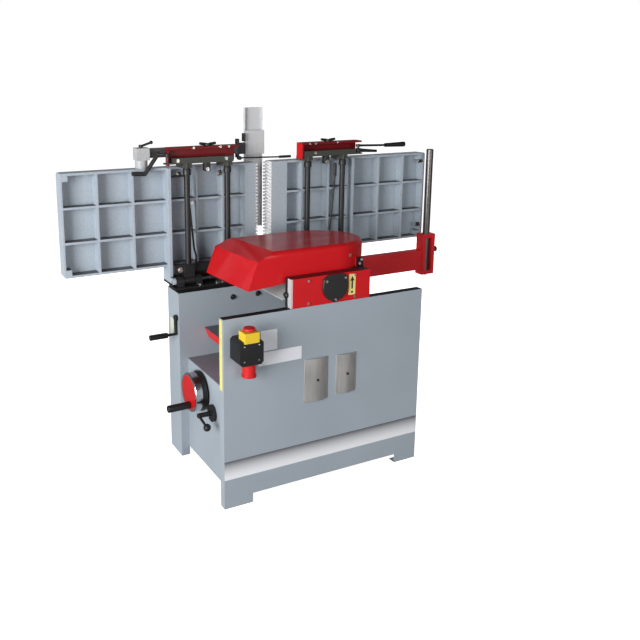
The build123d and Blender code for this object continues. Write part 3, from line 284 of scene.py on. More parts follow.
# %% [markdown]
# The floor is the studio's own, so it is marked as stage. It is pale paper that is bleached like the wall:
# for the camera it glows enough to be white, and the machine's soft shadow still shows on it. The machine
# itself sees a dimmer floor, so that its glossy fronts don't turn milky.

# %% Floor
FLOOR_HALF = 30.0
FLOOR_GLOW = 0.97
FLOOR_PALE = shade(240, 240, 241)
FLOOR_DIM = shade(140, 140, 142)
FLOOR_ROUGHNESS = 0.9

floor_material = bpy.data.materials.new("white_floor")
floor_material.use_nodes = True
tree = floor_material.node_tree
paper = tree.nodes["Principled BSDF"].inputs
paper["Roughness"].default_value = FLOOR_ROUGHNESS
paper["Emission Color"].default_value = WHITE
seen = camera_rays(tree)
feed(tree, mix_colours(tree, seen, FLOOR_DIM, FLOOR_PALE), paper["Base Color"])
feed(tree, times(tree, seen, FLOOR_GLOW), paper["Emission Strength"])
floor_mesh = bpy.data.meshes.new("floor")
floor_corners = [(u * FLOOR_HALF, v * FLOOR_HALF, 0) for u, v in ((-1, -1), (1, -1), (1, 1), (-1, 1))]
floor_mesh.from_pydata(floor_corners, [], [(0, 1, 2, 3)])
floor_mesh.materials.append(floor_material)
floor = bpy.data.objects.new("floor", floor_mesh)
scene.collection.objects.link(floor)
floor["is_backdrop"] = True
print("floor is", 2 * FLOOR_HALF, "m wide")

# %% [markdown]
# Paint is never one flat colour. Over a wide sheet it drifts a little lighter and darker, its gloss is
# uneven, and close up a sprayed coat has the small dimples called orange peel. One group makes these three
# from noise on Object coordinates, which are metres here, so every dimple has the same size on every piece.

# %% Paint skin group
NOISE_RANGE = (0.3, 0.7)


def toned(tree, colour, change):
    """A colour made lighter or darker by a share."""
    value = math_node(tree, "ADD", change, 1.0)
    return add(tree, "ShaderNodeHueSaturation", {"Color": colour, "Value": value}).outputs["Color"]


PAINT_SKIN, given, result = new_group(
    "paint_skin",
    SHADER,
    {"Color": COLOUR, "Mottle": 0.05, "Peel Size": 2.5 * MM, "Peel Depth": 0.02 * MM},
    {"Color": COLOUR, "Gloss": NUMBER, "Height": NUMBER},
)
tree = PAINT_SKIN
where = object_place(tree)
drift = spread(tree, noise(tree, where, scale=2.2, detail=3.0), -1.0, 1.0, *NOISE_RANGE)
feed(tree, toned(tree, given["Color"], times(tree, drift, given["Mottle"])), result["Color"])
smears = noise(tree, where, scale=9.0, detail=5.0)
feed(tree, spread(tree, smears, 0.0, 1.0, *NOISE_RANGE), result["Gloss"])
per_metre = math_node(tree, "DIVIDE", 1.0, given["Peel Size"])
dimples = noise(tree, where, per_metre, detail=1.0)
feed(tree, times(tree, dimples, given["Peel Depth"]), result["Height"])
tell(tree)

# %% [markdown]
# No real edge is a knife edge: sheet has a bend radius, a casting is filed, and the corner of a coat of
# paint rubs thin first. Bevelling every solid would cost many faces. The Bevel node bends only the normals
# near an edge, and how far it bends them also tells where the edges are, which serves as a mask for rubbed
# paint.

# %% Soft edge group
BEND_RANGE = (0.72, 0.99)
PATCH_RANGE = (0.4, 0.65)
SOFT_EDGE, given, result = new_group(
    "soft_edge", SHADER, {"Radius": 1.5 * MM, "Rub": 0.3}, {"Mask": NUMBER, "Normal": VECTOR}
)
tree = SOFT_EDGE
bent = add(tree, "ShaderNodeBevel", {"Radius": given["Radius"]}, samples=6).outputs["Normal"]
straight = tree.nodes.new("ShaderNodeNewGeometry").outputs["Normal"]
edge = spread(tree, vector_math(tree, "DOT_PRODUCT", bent, straight, "Value"), 1.0, 0.0, *BEND_RANGE)
patches = noise(tree, object_place(tree), scale=38.0, detail=4.0)
rubbed = times(tree, edge, spread(tree, patches, 0.0, 1.0, *PATCH_RANGE))
feed(tree, times(tree, rubbed, given["Rub"]), result["Mask"])
feed(tree, bent, result["Normal"])
tell(tree)

# %% [markdown]
# Iron poured in sand keeps the grain of the sand under its paint: soft lumps a few millimetres across, with
# finer grit on top. Two sizes of noise added together give that height, and the hollows are darkened a little
# as painted shade.

# %% Sand-cast skin group
GRIT_FINER = 5.0
GRIT_SHARE = 0.2
HOLLOW_RANGE = (0.3, 0.55)
CAST_SKIN, given, result = new_group(
    "cast_skin", SHADER, {"Lump Size": 9 * MM, "Depth": 0.25 * MM}, {"Height": NUMBER, "Hollow": NUMBER}
)
tree = CAST_SKIN
where = object_place(tree)
per_metre = math_node(tree, "DIVIDE", 1.0, given["Lump Size"])
lumps = noise(tree, where, per_metre, detail=2.0)
grit = noise(tree, where, times(tree, per_metre, GRIT_FINER), detail=2.0)
rough_height = math_node(tree, "ADD", lumps, times(tree, grit, GRIT_SHARE))
feed(tree, times(tree, rough_height, given["Depth"]), result["Height"])
feed(tree, spread(tree, lumps, 1.0, 0.0, *HOLLOW_RANGE), result["Hollow"])
tell(tree)

# %% [markdown]
# Bare metal shows how it was worked. A ground table, a turned rim and a brushed plate all carry fine lines
# in one direction. Noise squeezed across the lines and stretched along them makes these, so the group takes
# the number of lines a metre along each axis.

# %% Worked metal group
LINE_SHARE = 0.6
WORKED_LINES, given, result = new_group(
    "worked_lines",
    SHADER,
    {"Color": COLOUR, "Lines": (8.0, 600.0, 600.0), "Contrast": 0.12, "Depth": 0.004 * MM},
    {"Color": COLOUR, "Gloss": NUMBER, "Height": NUMBER},
)
tree = WORKED_LINES
where = object_place(tree)
squeezed = vector_math(tree, "MULTIPLY", where, given["Lines"])
lines = noise(tree, squeezed, scale=1.0, detail=3.0)
clouds = noise(tree, where, scale=7.0, detail=4.0)
mixed = math_node(tree, "ADD", times(tree, lines, LINE_SHARE), times(tree, clouds, 1.0 - LINE_SHARE))
brightness = times(tree, spread(tree, mixed, -1.0, 1.0, *NOISE_RANGE), given["Contrast"])
feed(tree, toned(tree, given["Color"], brightness), result["Color"])
feed(tree, spread(tree, mixed, 0.0, 1.0, *NOISE_RANGE), result["Gloss"])
feed(tree, times(tree, lines, given["Depth"]), result["Height"])
tell(tree)

# %% [markdown]
# Many pieces carry two finishes: a table is painted but its working face is ground bare, a lever has a
# steel rod and a plastic grip. Three small mask groups say where another finish starts: by which way a face
# looks, by how far along an axis a point lies, and by how near to an axis it is. Each has a function that
# sets its values.

# %% Masks
SKIN = 1 * MM


def mask_group(name, inputs):
    """A group whose only output is a mask."""
    return new_group(name, SHADER, inputs, {"Mask": NUMBER})


FACING, given, result = mask_group("facing", {"Direction": (0.0, 0.0, 1.0), "Limit": 0.9})
looks = FACING.nodes.new("ShaderNodeNewGeometry").outputs["Normal"]
agree = vector_math(FACING, "DOT_PRODUCT", looks, given["Direction"], "Value")
feed(FACING, math_node(FACING, "GREATER_THAN", agree, given["Limit"]), result["Mask"])

BEYOND, given, result = mask_group("beyond", {"Axis": (0.0, 0.0, 1.0), "Start": 0.0})
along = vector_math(BEYOND, "DOT_PRODUCT", object_place(BEYOND), given["Axis"], "Value")
feed(BEYOND, math_node(BEYOND, "GREATER_THAN", along, given["Start"]), result["Mask"])

AROUND, given, result = mask_group("around", {"Centre": VECTOR, "Axis": (1.0, 0.0, 0.0), "Radius": 0.1})
offset = vector_math(AROUND, "SUBTRACT", object_place(AROUND), given["Centre"])
moment = vector_math(AROUND, "CROSS_PRODUCT", offset, given["Axis"])
apart = vector_math(AROUND, "LENGTH", moment, output="Value")
feed(AROUND, math_node(AROUND, "LESS_THAN", apart, given["Radius"]), result["Mask"])


def facing(direction, limit=0.9):
    """A mask of the faces that look in a direction."""
    return lambda tree: place_group(tree, FACING, {"Direction": direction, "Limit": limit})["Mask"]


def beyond(axis, start):
    """A mask of what lies beyond a place along an axis."""
    return lambda tree: place_group(tree, BEYOND, {"Axis": axis, "Start": start})["Mask"]


def around(centre, axis, radius):
    """A mask of what lies near an axis."""
    return lambda tree: place_group(tree, AROUND, {"Centre": centre, "Axis": axis, "Radius": radius})["Mask"]


def both(first, second):
    """A mask of what lies in two others."""
    return lambda tree: times(tree, first(tree), second(tree))


def top_of(node):
    """A mask of a solid's upper face."""
    return both(facing(Z_AXIS), beyond(Z_AXIS, high(node).z - SKIN))


for group in (FACING, BEYOND, AROUND):
    tell(group)

# %% [markdown]
# A finish is built in layers, as on the machine. A layer is a function that lays a colour, a roughness, a
# metal share and a height, and masks can lay more layers over the first one. The shader itself comes last:
# it takes the topmost layer, softened at the edges, and its own fixed numbers, such as the clear coat.

# %% Layers and the shader
PAINT_SPREAD = (-0.05, 0.07)
METAL_SPREAD = (-0.06, 0.10)
HOLLOW_SHADE_SHARE = 0.10
HOLLOW_SHADE_DARK = shade(40, 42, 46)
BARE_GREY = shade(120, 120, 122)
FIXED_SOCKETS = {
    "specular": "Specular IOR Level",
    "coat": "Coat Weight",
    "coat_roughness": "Coat Roughness",
}


def paint(colour, roughness, mottle=0.05, cast_depth=0.0, peel_depth=0.02 * MM):
    """Sprayed paint, over smooth sheet or over a sand casting."""

    def lay(tree):
        skin = place_group(tree, PAINT_SKIN, {"Color": colour, "Mottle": mottle, "Peel Depth": peel_depth})
        layer = {
            "colour": skin["Color"],
            "roughness": spread(tree, skin["Gloss"], *[roughness + change for change in PAINT_SPREAD]),
            "metal": 0.0,
            "height": skin["Height"],
        }
        if cast_depth:
            sand = place_group(tree, CAST_SKIN, {"Depth": cast_depth})
            # Painted shade: the hollows of the sand's skin are darkened a little.
            hollow_shade = times(tree, sand["Hollow"], HOLLOW_SHADE_SHARE)
            layer["colour"] = mix_colours(tree, hollow_shade, layer["colour"], HOLLOW_SHADE_DARK)
            layer["height"] = math_node(tree, "ADD", layer["height"], sand["Height"])
        return layer

    return lay


def metal(colour, roughness, lines, contrast=0.12, share=1.0):
    """Bare metal with the lines of the tool that worked it. A lower share scatters more light."""

    def lay(tree):
        worked = place_group(tree, WORKED_LINES, {"Color": colour, "Lines": lines, "Contrast": contrast})
        return {
            "colour": worked["Color"],
            "roughness": spread(tree, worked["Gloss"], *[roughness + change for change in METAL_SPREAD]),
            "metal": share,
            "height": worked["Height"],
        }

    return lay


def layered(first, *others):
    """A layer with others over it, each where its own mask is 1. A number that all share stays a number."""

    def lay(tree):
        under = first(tree)
        for mask, lay_top in others:
            share, top = mask(tree), lay_top(tree)
            under["colour"] = mix_colours(tree, share, under["colour"], top["colour"])
            for part in ("roughness", "metal", "height"):
                if under[part] != top[part]:
                    under[part] = mix_values(tree, share, under[part], top[part])
        return under

    return lay


def finish(name, lay, edge_radius=1.5 * MM, rub=0.0, rub_colour=BARE_GREY, **fixed):
    """A material of that name from a function that lays its layers."""
    material = bpy.data.materials.new(name)
    material.use_nodes = True
    tree = material.node_tree
    shader = tree.nodes["Principled BSDF"].inputs
    layer = lay(tree)
    edges = place_group(tree, SOFT_EDGE, {"Radius": edge_radius, "Rub": rub})
    colour = layer["colour"]
    if rub:
        colour = mix_colours(tree, edges["Mask"], colour, rub_colour)
    feed(tree, colour, shader["Base Color"])
    feed(tree, layer["roughness"], shader["Roughness"])
    feed(tree, layer["metal"], shader["Metallic"])
    relief = {"Height": layer["height"], "Normal": edges["Normal"], "Distance": 1.0}
    feed(tree, add(tree, "ShaderNodeBump", relief).outputs["Normal"], shader["Normal"])
    for label, value in fixed.items():
        shader[FIXED_SOCKETS[label]].default_value = value
    return material


dressed = set()


def dress(material, *nodes):
    """Gives solids a finish in place of the plain one they came with."""
    for node in nodes:
        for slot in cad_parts[node].material_slots:
            slot.material = material
        dressed.add(node)
    print(material.name, "on", ", ".join(nodes))


print("a finish can also set", ", ".join(FIXED_SOCKETS))

# %% [markdown]
# The cabinet is folded sheet with a grey-blue powder coat, satin and slightly dimpled. The upper folds of
# the front panel and of the column are painted black as painted shade, since upward faces stay dark in this
# light, so a mask of upward faces darkens them. The deck between the two is painted a darker grey as painted
# shade, for the shade that falls on it under the thicknessing table.

# %% Cabinet sheet
# One black serves as painted shade on the sheets' upward folds, and as the black of the hood's lug and the
# cheek's back part.
BLACK_AND_SHADE = shade(24, 24, 26)
SHADED_FOLD_DEPTH = 3 * MM
SHEET_RUB = {"rub": 0.15, "rub_colour": shade(190, 196, 202)}
powder_coat = paint(shade(163, 173, 182), roughness=0.42)
# Painted shade: the deck is painted darker for the shade under the thicknessing table.
shaded_deck_coat = paint(shade(128, 132, 142), roughness=0.6, mottle=0.10)
CABINET = finish("cabinet_coat", powder_coat, **SHEET_RUB)
dress(CABINET, "left_side_panel", "right_side_panel", "floor_plate")
dress(finish("deck_coat", shaded_deck_coat, **SHEET_RUB), "deck_plate")
# Painted shade: the upward faces of each sheet's top fold are painted black.
for sheet in ("front_panel", "rear_column"):
    fold = both(facing(Z_AXIS, limit=0.6), beyond(Z_AXIS, high(sheet).z - SHADED_FOLD_DEPTH))
    shaded_fold = layered(powder_coat, (fold, paint(BLACK_AND_SHADE, roughness=0.6)))
    dress(finish(sheet + "_coat", shaded_fold, **SHEET_RUB), sheet)

# %% [markdown]
# The chip hood and the front cheek's cover are sprayed red and glossy, with a clear coat that mirrors the
# tables. The hood's lug in front of its rod is black. The fence arm is a red casting, a little duller. The
# covers over the crossbars are painted in lit and shaded copies of one red: a darker red as painted shade
# over most of each cover, and a brighter red as painted light where it faces left, on the whole end of the
# right one and only on the foot of the left one's end. A coat weight on the shader gives the mirror.

# %% Red paint
DULL_RED = shade(234, 30, 38)
LIT_FOOT_HEIGHT = 38 * MM
LUG_HALF = 14 * MM
LUG_DEPTH = 14 * MM
gloss_red = paint(shade(206, 26, 32), roughness=0.34, mottle=0.03)
dull_red = paint(DULL_RED, roughness=0.42, mottle=0.06, cast_depth=0.10 * MM)
shaded_red = paint(shade(122, 16, 22), roughness=0.40, mottle=0.06)
inner_black = paint(BLACK_AND_SHADE, roughness=0.5)

lug_right = beyond(X_AXIS, middle("hood_rod").x - LUG_HALF)
lug_front = beyond(-Y_AXIS, -low("hood_shell").y - LUG_DEPTH)
hood = layered(gloss_red, (both(lug_right, lug_front), inner_black))
HOOD_RED = finish("hood_red", hood, edge_radius=3 * MM, specular=0.08, coat=0.36, coat_roughness=0.05)
dress(HOOD_RED, "hood_shell")
dress(finish("cover_red", gloss_red, rub=0.15, specular=0.25, coat=0.2, coat_roughness=0.12), "cheek_cover")
dress(finish("arm_red", dull_red, edge_radius=2 * MM, rub=0.3, coat=0.1), "fence_arm")
# Painted light and shade: faces that look left take the lit red, all other faces the shaded red.
lit_end_foot = both(facing(-X_AXIS), beyond(-Z_AXIS, -low("outfeed_cover").z - LIT_FOOT_HEIGHT))
for cover, lit_part in (("outfeed_cover", lit_end_foot), ("infeed_cover", facing(-X_AXIS))):
    ended = layered(shaded_red, (lit_part, gloss_red))
    dress(finish(cover + "_red", ended, rub=0.2, specular=0.2, coat=0.04), cover)

# %% [markdown]
# The two surfacing tables are ribbed iron castings. Their ribs keep the sand's skin under a grey paint, and
# every upward ledge is painted darker as painted shade, since upward faces stay dark in this light. Near the
# hinge they are black, up to another height on each table. The working face, which now looks backwards, is
# ground bare with long fine lines. The comb on the lip is pale cast aluminium, painted nearly white and not
# as metal, as a painted sheen in place of the bright metal's shine.

# %% Table castings
GROUND_LINES = (9.0, 500.0, 500.0)
COMB_REACH = 10.6 * MM
LEDGE_DROP = 5 * MM
TABLE_EDGE = 3 * MM
TABLES = (
    # table, the way its comb points, where its comb ends that way, how far the black rises over the hinge
    ("outfeed", X_AXIS, high("outfeed_table").x, -8 * MM),
    ("infeed", -X_AXIS, -low("infeed_table").x, 34 * MM),
)
casting_grey = paint(shade(176, 187, 197), roughness=0.46, mottle=0.05, cast_depth=0.22 * MM)
ledge_shade = paint(shade(92, 96, 100), roughness=0.7, mottle=0.1)
ear_black = paint(shade(30, 30, 32), roughness=0.5)
ground_face = metal(shade(186, 188, 190), roughness=0.38, lines=GROUND_LINES, share=0.35)
# Pale aluminium with a painted sheen: the comb is a near-white non-metal in place of its bright shine.
comb_pale_with_sheen = paint(shade(246, 247, 248), roughness=0.5, mottle=0.03)
# Painted shade: upward ledges below the top are painted a dark grey.
shaded_ledges = both(facing(Z_AXIS), beyond(-Z_AXIS, LEDGE_DROP - high("outfeed_table").z))
working_face = both(facing(Y_AXIS), beyond(Y_AXIS, high("outfeed_table").y - SKIN))
for side, comb_way, comb_end, ear_rise in TABLES:
    table = layered(
        casting_grey,
        (shaded_ledges, ledge_shade),
        (beyond(-Z_AXIS, -middle("hinge_pins").z - ear_rise), ear_black),
        (working_face, ground_face),
        (beyond(comb_way, comb_end - COMB_REACH), comb_pale_with_sheen),
    )
    dress(finish(side + "_casting", table, edge_radius=TABLE_EDGE, rub=0.2), side + "_table")

# %% [markdown]
# The cheeks that hold the cutterhead are castings as well, pale where they are milled. The front one is
# painted dark red on top as the painted shadow of the hood, and black behind its first 25 millimetres. The
# thicknessing table is a red casting with a ground top. Masks of upward faces and of places along an axis
# split these layers.

# %% Head and thicknessing table castings
CHEEK_MILLED = 25 * MM
milled = paint(shade(200, 202, 203), roughness=0.45, cast_depth=0.10 * MM)
# Painted shadow: the front cheek's top is painted dark red for the hood's shadow.
hood_shadow_red = paint(shade(84, 14, 18), roughness=0.5)
cheek_inside = beyond(Y_AXIS, low("front_cheek").y + CHEEK_MILLED)
front_cheek = layered(milled, (cheek_inside, inner_black), (top_of("front_cheek"), hood_shadow_red))
table_red = paint(DULL_RED, roughness=0.45, cast_depth=0.18 * MM)
table_top = metal(shade(120, 120, 122), roughness=0.32, lines=GROUND_LINES)
thickness_table = layered(table_red, (top_of("thickness_table"), table_top))
dress(finish("cheek_casting", milled, rub=0.2), "rear_cheek", "chip_deflector")
dress(finish("front_cheek_casting", front_cheek, rub=0.2), "front_cheek")
dress(finish("thickness_casting", thickness_table, edge_radius=2 * MM, rub=0.2), "thickness_table")

# %% [markdown]
# Shafts, rollers and bars are turned or drawn steel. Some stay bright, some are blackened against rust. The
# bright ones are the same metal layer with other colours, and the lines run round the turned pieces. The
# carriers' upper crossbars are greyer than their bars.

# %% Steel
TURNED_LINES = (700.0, 60.0, 700.0)
FINE_EDGE = 0.5 * MM
RUBBED_STEEL = shade(96, 94, 92)
SCREW_BRIGHT_FROM = 0.7
bright = metal(shade(190, 190, 192), roughness=0.28, lines=TURNED_LINES)
zinc = metal(shade(222, 220, 214), roughness=0.26, lines=TURNED_LINES)
blackened = paint(shade(34, 33, 34), roughness=0.42, mottle=0.15, cast_depth=0.06 * MM)
crossbar_grey = paint(shade(62, 64, 58), roughness=0.40, mottle=0.15, cast_depth=0.06 * MM)
carrier = layered(blackened, (beyond(Z_AXIS, high("outfeed_table").z), crossbar_grey))
drawn = metal(shade(122, 118, 115), roughness=0.34, lines=(500.0, 500.0, 8.0), contrast=0.2)
brushed = metal(shade(230, 227, 224), roughness=0.40, lines=(700.0, 700.0, 8.0), contrast=0.16)
screws = layered(blackened, (beyond(Z_AXIS, SCREW_BRIGHT_FROM), zinc))
BRIGHT = finish("bright_steel", bright)
ZINC = finish("zinc_plate", zinc, edge_radius=FINE_EDGE)
BLACK = finish("black_steel", blackened, rub=0.35, rub_colour=RUBBED_STEEL)
CARRIER = finish("carrier_paint", carrier, rub=0.1, rub_colour=RUBBED_STEEL)
dress(BRIGHT, "cutterhead", "knives", "head_bearings", "kickback_shaft", "hood_rod", "infeed_roller")
dress(BRIGHT, "outfeed_roller", "lift_piston", "lift_screw", "lift_sleeve", "hinge_pins", "motor_pulley")
dress(CARRIER, "outfeed_carrier", "infeed_carrier")
dress(BLACK, "left_pedestal", "right_pedestal", "drive_cover")
dress(BLACK, "kickback_fingers", "drive_motor", "bearing_cap", "bent_lever")
dress(finish("drawn_bar", drawn), "fence_bar")
dress(finish("brushed_stainless", brushed), "hanger_plates")
dress(finish("screw_zones", screws, edge_radius=FINE_EDGE), "screws")

# %% [markdown]
# The guard is an anodised aluminium profile, nearly white in the studio: the anodic layer scatters light
# more than it mirrors, so its metal share is 0, and lines are drawn along it. The post and its block are
# cast, the arm is darker drawn bar, and the holder is black with a pale plate in front of the guard. Three
# masks along the arm tell these apart.

# %% Aluminium
POST_LENGTH = 55 * MM
HOLDER_LENGTH = 144 * MM
FACE_PLATE_LENGTH = 101.5 * MM
anodised = metal(shade(206, 208, 210), roughness=0.42, lines=(600.0, 600.0, 5.0), contrast=0.05, share=0.0)
cast_aluminium = paint(shade(186, 188, 189), roughness=0.42, mottle=0.10, cast_depth=0.15 * MM)
arm_bar = paint(shade(86, 86, 85), roughness=0.42, mottle=0.10)
arm_end = high("guard_arm").x
guard_arm = layered(
    cast_aluminium,
    (beyond(X_AXIS, low("guard_arm").x + POST_LENGTH), arm_bar),
    (beyond(X_AXIS, arm_end - HOLDER_LENGTH), blackened),
    (beyond(X_AXIS, arm_end - FACE_PLATE_LENGTH), anodised),
)
dress(finish("anodised_guard", anodised), "guard")
dress(finish("guard_arm_zones", guard_arm), "guard_arm")

# %% [markdown]
# Grips, knobs and switch boxes are moulded plastic, with the fine even texture of the mould. The belt is
# rubber, rougher still. They all come from the paint layer with a deeper, finer peel. Printed foils share
# it, but smoother.

# %% Plastics and rubber
MOULD_TEXTURE = 0.05 * MM
FOIL_TEXTURE = 0.01 * MM
MOULD_RUBBED = shade(110, 110, 110)


def moulded(name, colour, roughness, texture=MOULD_TEXTURE):
    """Moulded plastic of a colour."""
    plastic = paint(colour, roughness, mottle=0.06, peel_depth=texture)
    return finish(name, plastic, edge_radius=2 * MM, rub=0.15, rub_colour=MOULD_RUBBED)


BLACK_PLASTIC = moulded("black_plastic", shade(26, 26, 27), roughness=0.42)
dress(BLACK_PLASTIC, "handwheel_grip", "lock_lever", "outfeed_wing_knob", "infeed_wing_knob", "clamp_lever")
dress(BLACK_PLASTIC, "fence_knob", "switch_box", "post_lever", "feed_lever")
dress(moulded("yellow_plastic", shade(238, 202, 44), roughness=0.38), "switch_housing")
dress(moulded("red_plastic", shade(212, 30, 34), roughness=0.36), "stop_button", "power_inlet")
dress(moulded("belt_rubber", shade(30, 29, 28), roughness=0.75), "drive_belt")

# %% [markdown]
# The two long levers are blackened rods pushed into plastic grips. The grip is the last stretch of each, so
# one mask along the lever splits the rod's finish from the grip's.

# %% Levers with grips
lever_rod = metal(shade(66, 65, 66), roughness=0.36, lines=(60.0, 700.0, 700.0))
lever_grip = paint(shade(22, 22, 23), roughness=0.48, mottle=0.06, peel_depth=MOULD_TEXTURE)
for lever, grip_length in (("adjust_lever", 112 * MM), ("guard_lever", 58 * MM)):
    gripped = layered(lever_rod, (beyond(X_AXIS, high(lever).x - grip_length), lever_grip))
    dress(finish(lever + "_zones", gripped), lever)

# %% [markdown]
# The handwheel has a red face, a bright turned rim and a black back ring, all in one solid. Masks along its
# shaft split the rim from the ring and the shaft behind, and a round mask keeps the red inside the rim.

# %% Handwheel
WHEEL_RIM_DEPTH = 30 * MM
WHEEL_DEPTH = 52 * MM
WHEEL_FACE_RADIUS = 70 * MM
wheel_front = high("handwheel_grip").x
wheel_rim = metal(shade(205, 205, 206), roughness=0.16, lines=(700.0, 40.0, 40.0))
wheel_red = paint(shade(204, 20, 24), roughness=0.35, mottle=0.12)
back_ring = paint(shade(26, 26, 27), roughness=0.45)
wheel_face = both(around(middle("handwheel"), X_AXIS, WHEEL_FACE_RADIUS), facing(-X_AXIS, limit=0.3))
handwheel = layered(
    wheel_rim,
    (wheel_face, wheel_red),
    (beyond(X_AXIS, wheel_front + WHEEL_RIM_DEPTH), back_ring),
    (beyond(X_AXIS, wheel_front + WHEEL_DEPTH + SKIN), bright),
)
dress(finish("handwheel_zones", handwheel), "handwheel")

# %% [markdown]
# The solids are dressed, and the small pieces follow. Most of them are rings of points joined by strips of
# faces, which is called lofting: it serves turned collars, flat plates and cut-out shapes alike. Modelling
# by hand or with primitives would do too, but a loft is always closed, and its faces always point outwards.

# %% Lofted shapes
SHARP_EDGE = math.radians(35)
SINK = 0.4 * MM
TURNED_SIDES = 24
CORNER_STEPS = 4
FRONT = (X_AXIS, Z_AXIS)
LEFT = (-Y_AXIS, Z_AXIS)
RIGHT = (Y_AXIS, Z_AXIS)
BACK = (-X_AXIS, Z_AXIS)


def loft(shape, rings):
    """Joins rings of points, anticlockwise round the way they climb, into a closed solid."""
    loops = [[shape.verts.new(point) for point in ring] for ring in rings]
    for lower, upper in zip(loops, loops[1:]):
        for here in range(len(lower)):
            after = (here + 1) % len(lower)
            shape.faces.new((lower[here], lower[after], upper[after], upper[here]))
    shape.faces.new(reversed(loops[0]))
    shape.faces.new(loops[-1])


def turned(shape, start, axis, profile, sides=TURNED_SIDES):
    """A turned solid, whose profile is steps along the axis and the radius at each, in millimetres."""
    across = axis.orthogonal().normalized()
    away = axis.cross(across)
    turns = [2 * math.pi * step / sides for step in range(sides)]
    spokes = [math.cos(turn) * across + math.sin(turn) * away for turn in turns]
    steps = [(start + along * MM * axis, radius * MM) for along, radius in profile]
    loft(shape, [[centre + radius * spoke for spoke in spokes] for centre, radius in steps])


def rounded_outline(width, height, corner):
    """A rectangle with round corners, anticlockwise round its centre."""
    outline = []
    for quarter, (side_u, side_v) in enumerate(((1, 1), (-1, 1), (-1, -1), (1, -1))):
        for step in range(CORNER_STEPS + 1):
            angle = math.radians(90 * (quarter + step / CORNER_STEPS))
            u = side_u * (width / 2 - corner) + corner * math.cos(angle)
            v = side_v * (height / 2 - corner) + corner * math.sin(angle)
            outline.append((u, v))
    return outline


def plate(shape, centre, way, size, thickness, corner):
    """A plate with round corners and a broken front edge, standing on a surface and let in by a hair."""
    right, up = way
    out = right.cross(up)
    edge = min(thickness, corner) / 3
    rings = []
    for lift, inset in ((-SINK, 0.0), (thickness - edge, 0.0), (thickness, edge)):
        outline = rounded_outline(size[0] - 2 * inset, size[1] - 2 * inset, corner - inset)
        rings.append([centre + u * right + v * up + lift * out for u, v in outline])
    loft(shape, rings)


def keep(name, mesh, body):
    """Makes a finished mesh a piece that rides on a body."""
    mesh.shade_smooth()
    mesh.set_sharp_from_angle(angle=SHARP_EDGE)
    made = bpy.data.objects.new(name, mesh)
    scene.collection.objects.link(made)
    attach(made, body)
    print(name, "has", len(mesh.polygons), "faces and rides on", body)


def piece(name, shape, material, body):
    """Turns a worked shape into a piece."""
    mesh = bpy.data.meshes.new(name)
    shape.to_mesh(mesh)
    shape.free()
    mesh.materials.append(material)
    keep(name, mesh, body)


def plate_piece(name, material, body, slot, *form):
    """A piece that is one plate."""
    shape = bmesh.new()
    plate(shape, *form)
    piece(name, shape, material, body)


print("turned pieces have", TURNED_SIDES, "sides")

# %% [markdown]
# A printed foil runs along the lower front, dark at its upper edge and nearly white below. It carries no
# words here. The fade belongs to the print, so it is painted by height, on a thin plate that can be seen
# from the side.

# %% Trim foil
TRIM_LOW = 119 * MM
TRIM_HIGH = 194 * MM
TRIM_INSET = 1 * MM
TRIM_FADE = 1.7
TRIM_PALE = shade(244, 245, 249)
TRIM_DARK = shade(84, 86, 94)
TRIM_EDGE = 0.2 * MM
FOIL = 0.5 * MM
FOIL_CORNER = 0.6 * MM
panel_face = low("front_panel").y


def trim_print(tree):
    """A print that fades from dark to pale."""
    climb = spread(tree, split_height(tree, object_place(tree)), 0.0, 1.0, TRIM_LOW, TRIM_HIGH)
    fade = math_node(tree, "POWER", climb, TRIM_FADE)
    return paint(mix_colours(tree, fade, TRIM_PALE, TRIM_DARK), roughness=0.36, mottle=0.03)(tree)


TRIM = finish("trim_print", trim_print, edge_radius=TRIM_EDGE)
trim_middle = Vector((middle("front_panel").x, panel_face, (TRIM_LOW + TRIM_HIGH) / 2))
trim_size = (span("front_panel").x - 2 * TRIM_INSET, TRIM_HIGH - TRIM_LOW)
plate_piece("trim_foil", TRIM, "base", "cabinet", trim_middle, FRONT, trim_size, FOIL, FOIL_CORNER)

# %% [markdown]
# More foils and plates are stuck or riveted on: a yellow strip on the panel's left edge, two pale plates
# beside the switch, and a pale plate behind the feed lever. That last one is thinner than the gap in which
# the lever's arm swings past it. All stay bare of print. One loop makes them, because they differ only in
# place, size and finish.

# %% Plates on the cabinet
PALE_PLATE = moulded("pale_plate", shade(244, 246, 252), roughness=0.36, texture=FOIL_TEXTURE)
CREAM_PLATE = moulded("cream_plate", shade(212, 216, 200), roughness=0.38, texture=FOIL_TEXTURE)
YELLOW_FOIL = moulded("yellow_foil", shade(238, 226, 136), roughness=0.34, texture=FOIL_TEXTURE)
PLATE_CORNER = 3 * MM
PLATE_DEPTH = 2 * FOIL
FEED_FOIL = 0.15 * MM
panel_corner = Vector((low("front_panel").x, panel_face, high("front_panel").z))
column_corner = Vector((low("rear_column").x, low("rear_column").y, 0.0))
PLATES = (
    # name, finish, the corner it is measured from, middle in millimetres, way, size in millimetres, thickness
    ("edge_strip", YELLOW_FOIL, panel_corner, (0, 22, -142), LEFT, (22, 272), PLATE_DEPTH),
    ("type_plate", PALE_PLATE, panel_corner, (187, 0, -106), FRONT, (70, 80), PLATE_DEPTH),
    ("wide_plate", PALE_PLATE, panel_corner, (236, 0, -177), FRONT, (186, 52), PLATE_DEPTH),
    ("feed_plate", CREAM_PLATE, column_corner, (0, 76, 565), LEFT, (60, 74), FEED_FOIL),
)
for name, material, corner, place, way, (width, height), depth in PLATES:
    form = (corner + Vector(place) * MM, way, (width * MM, height * MM), depth, PLATE_CORNER)
    plate_piece(name, material, "base", "cabinet", *form)

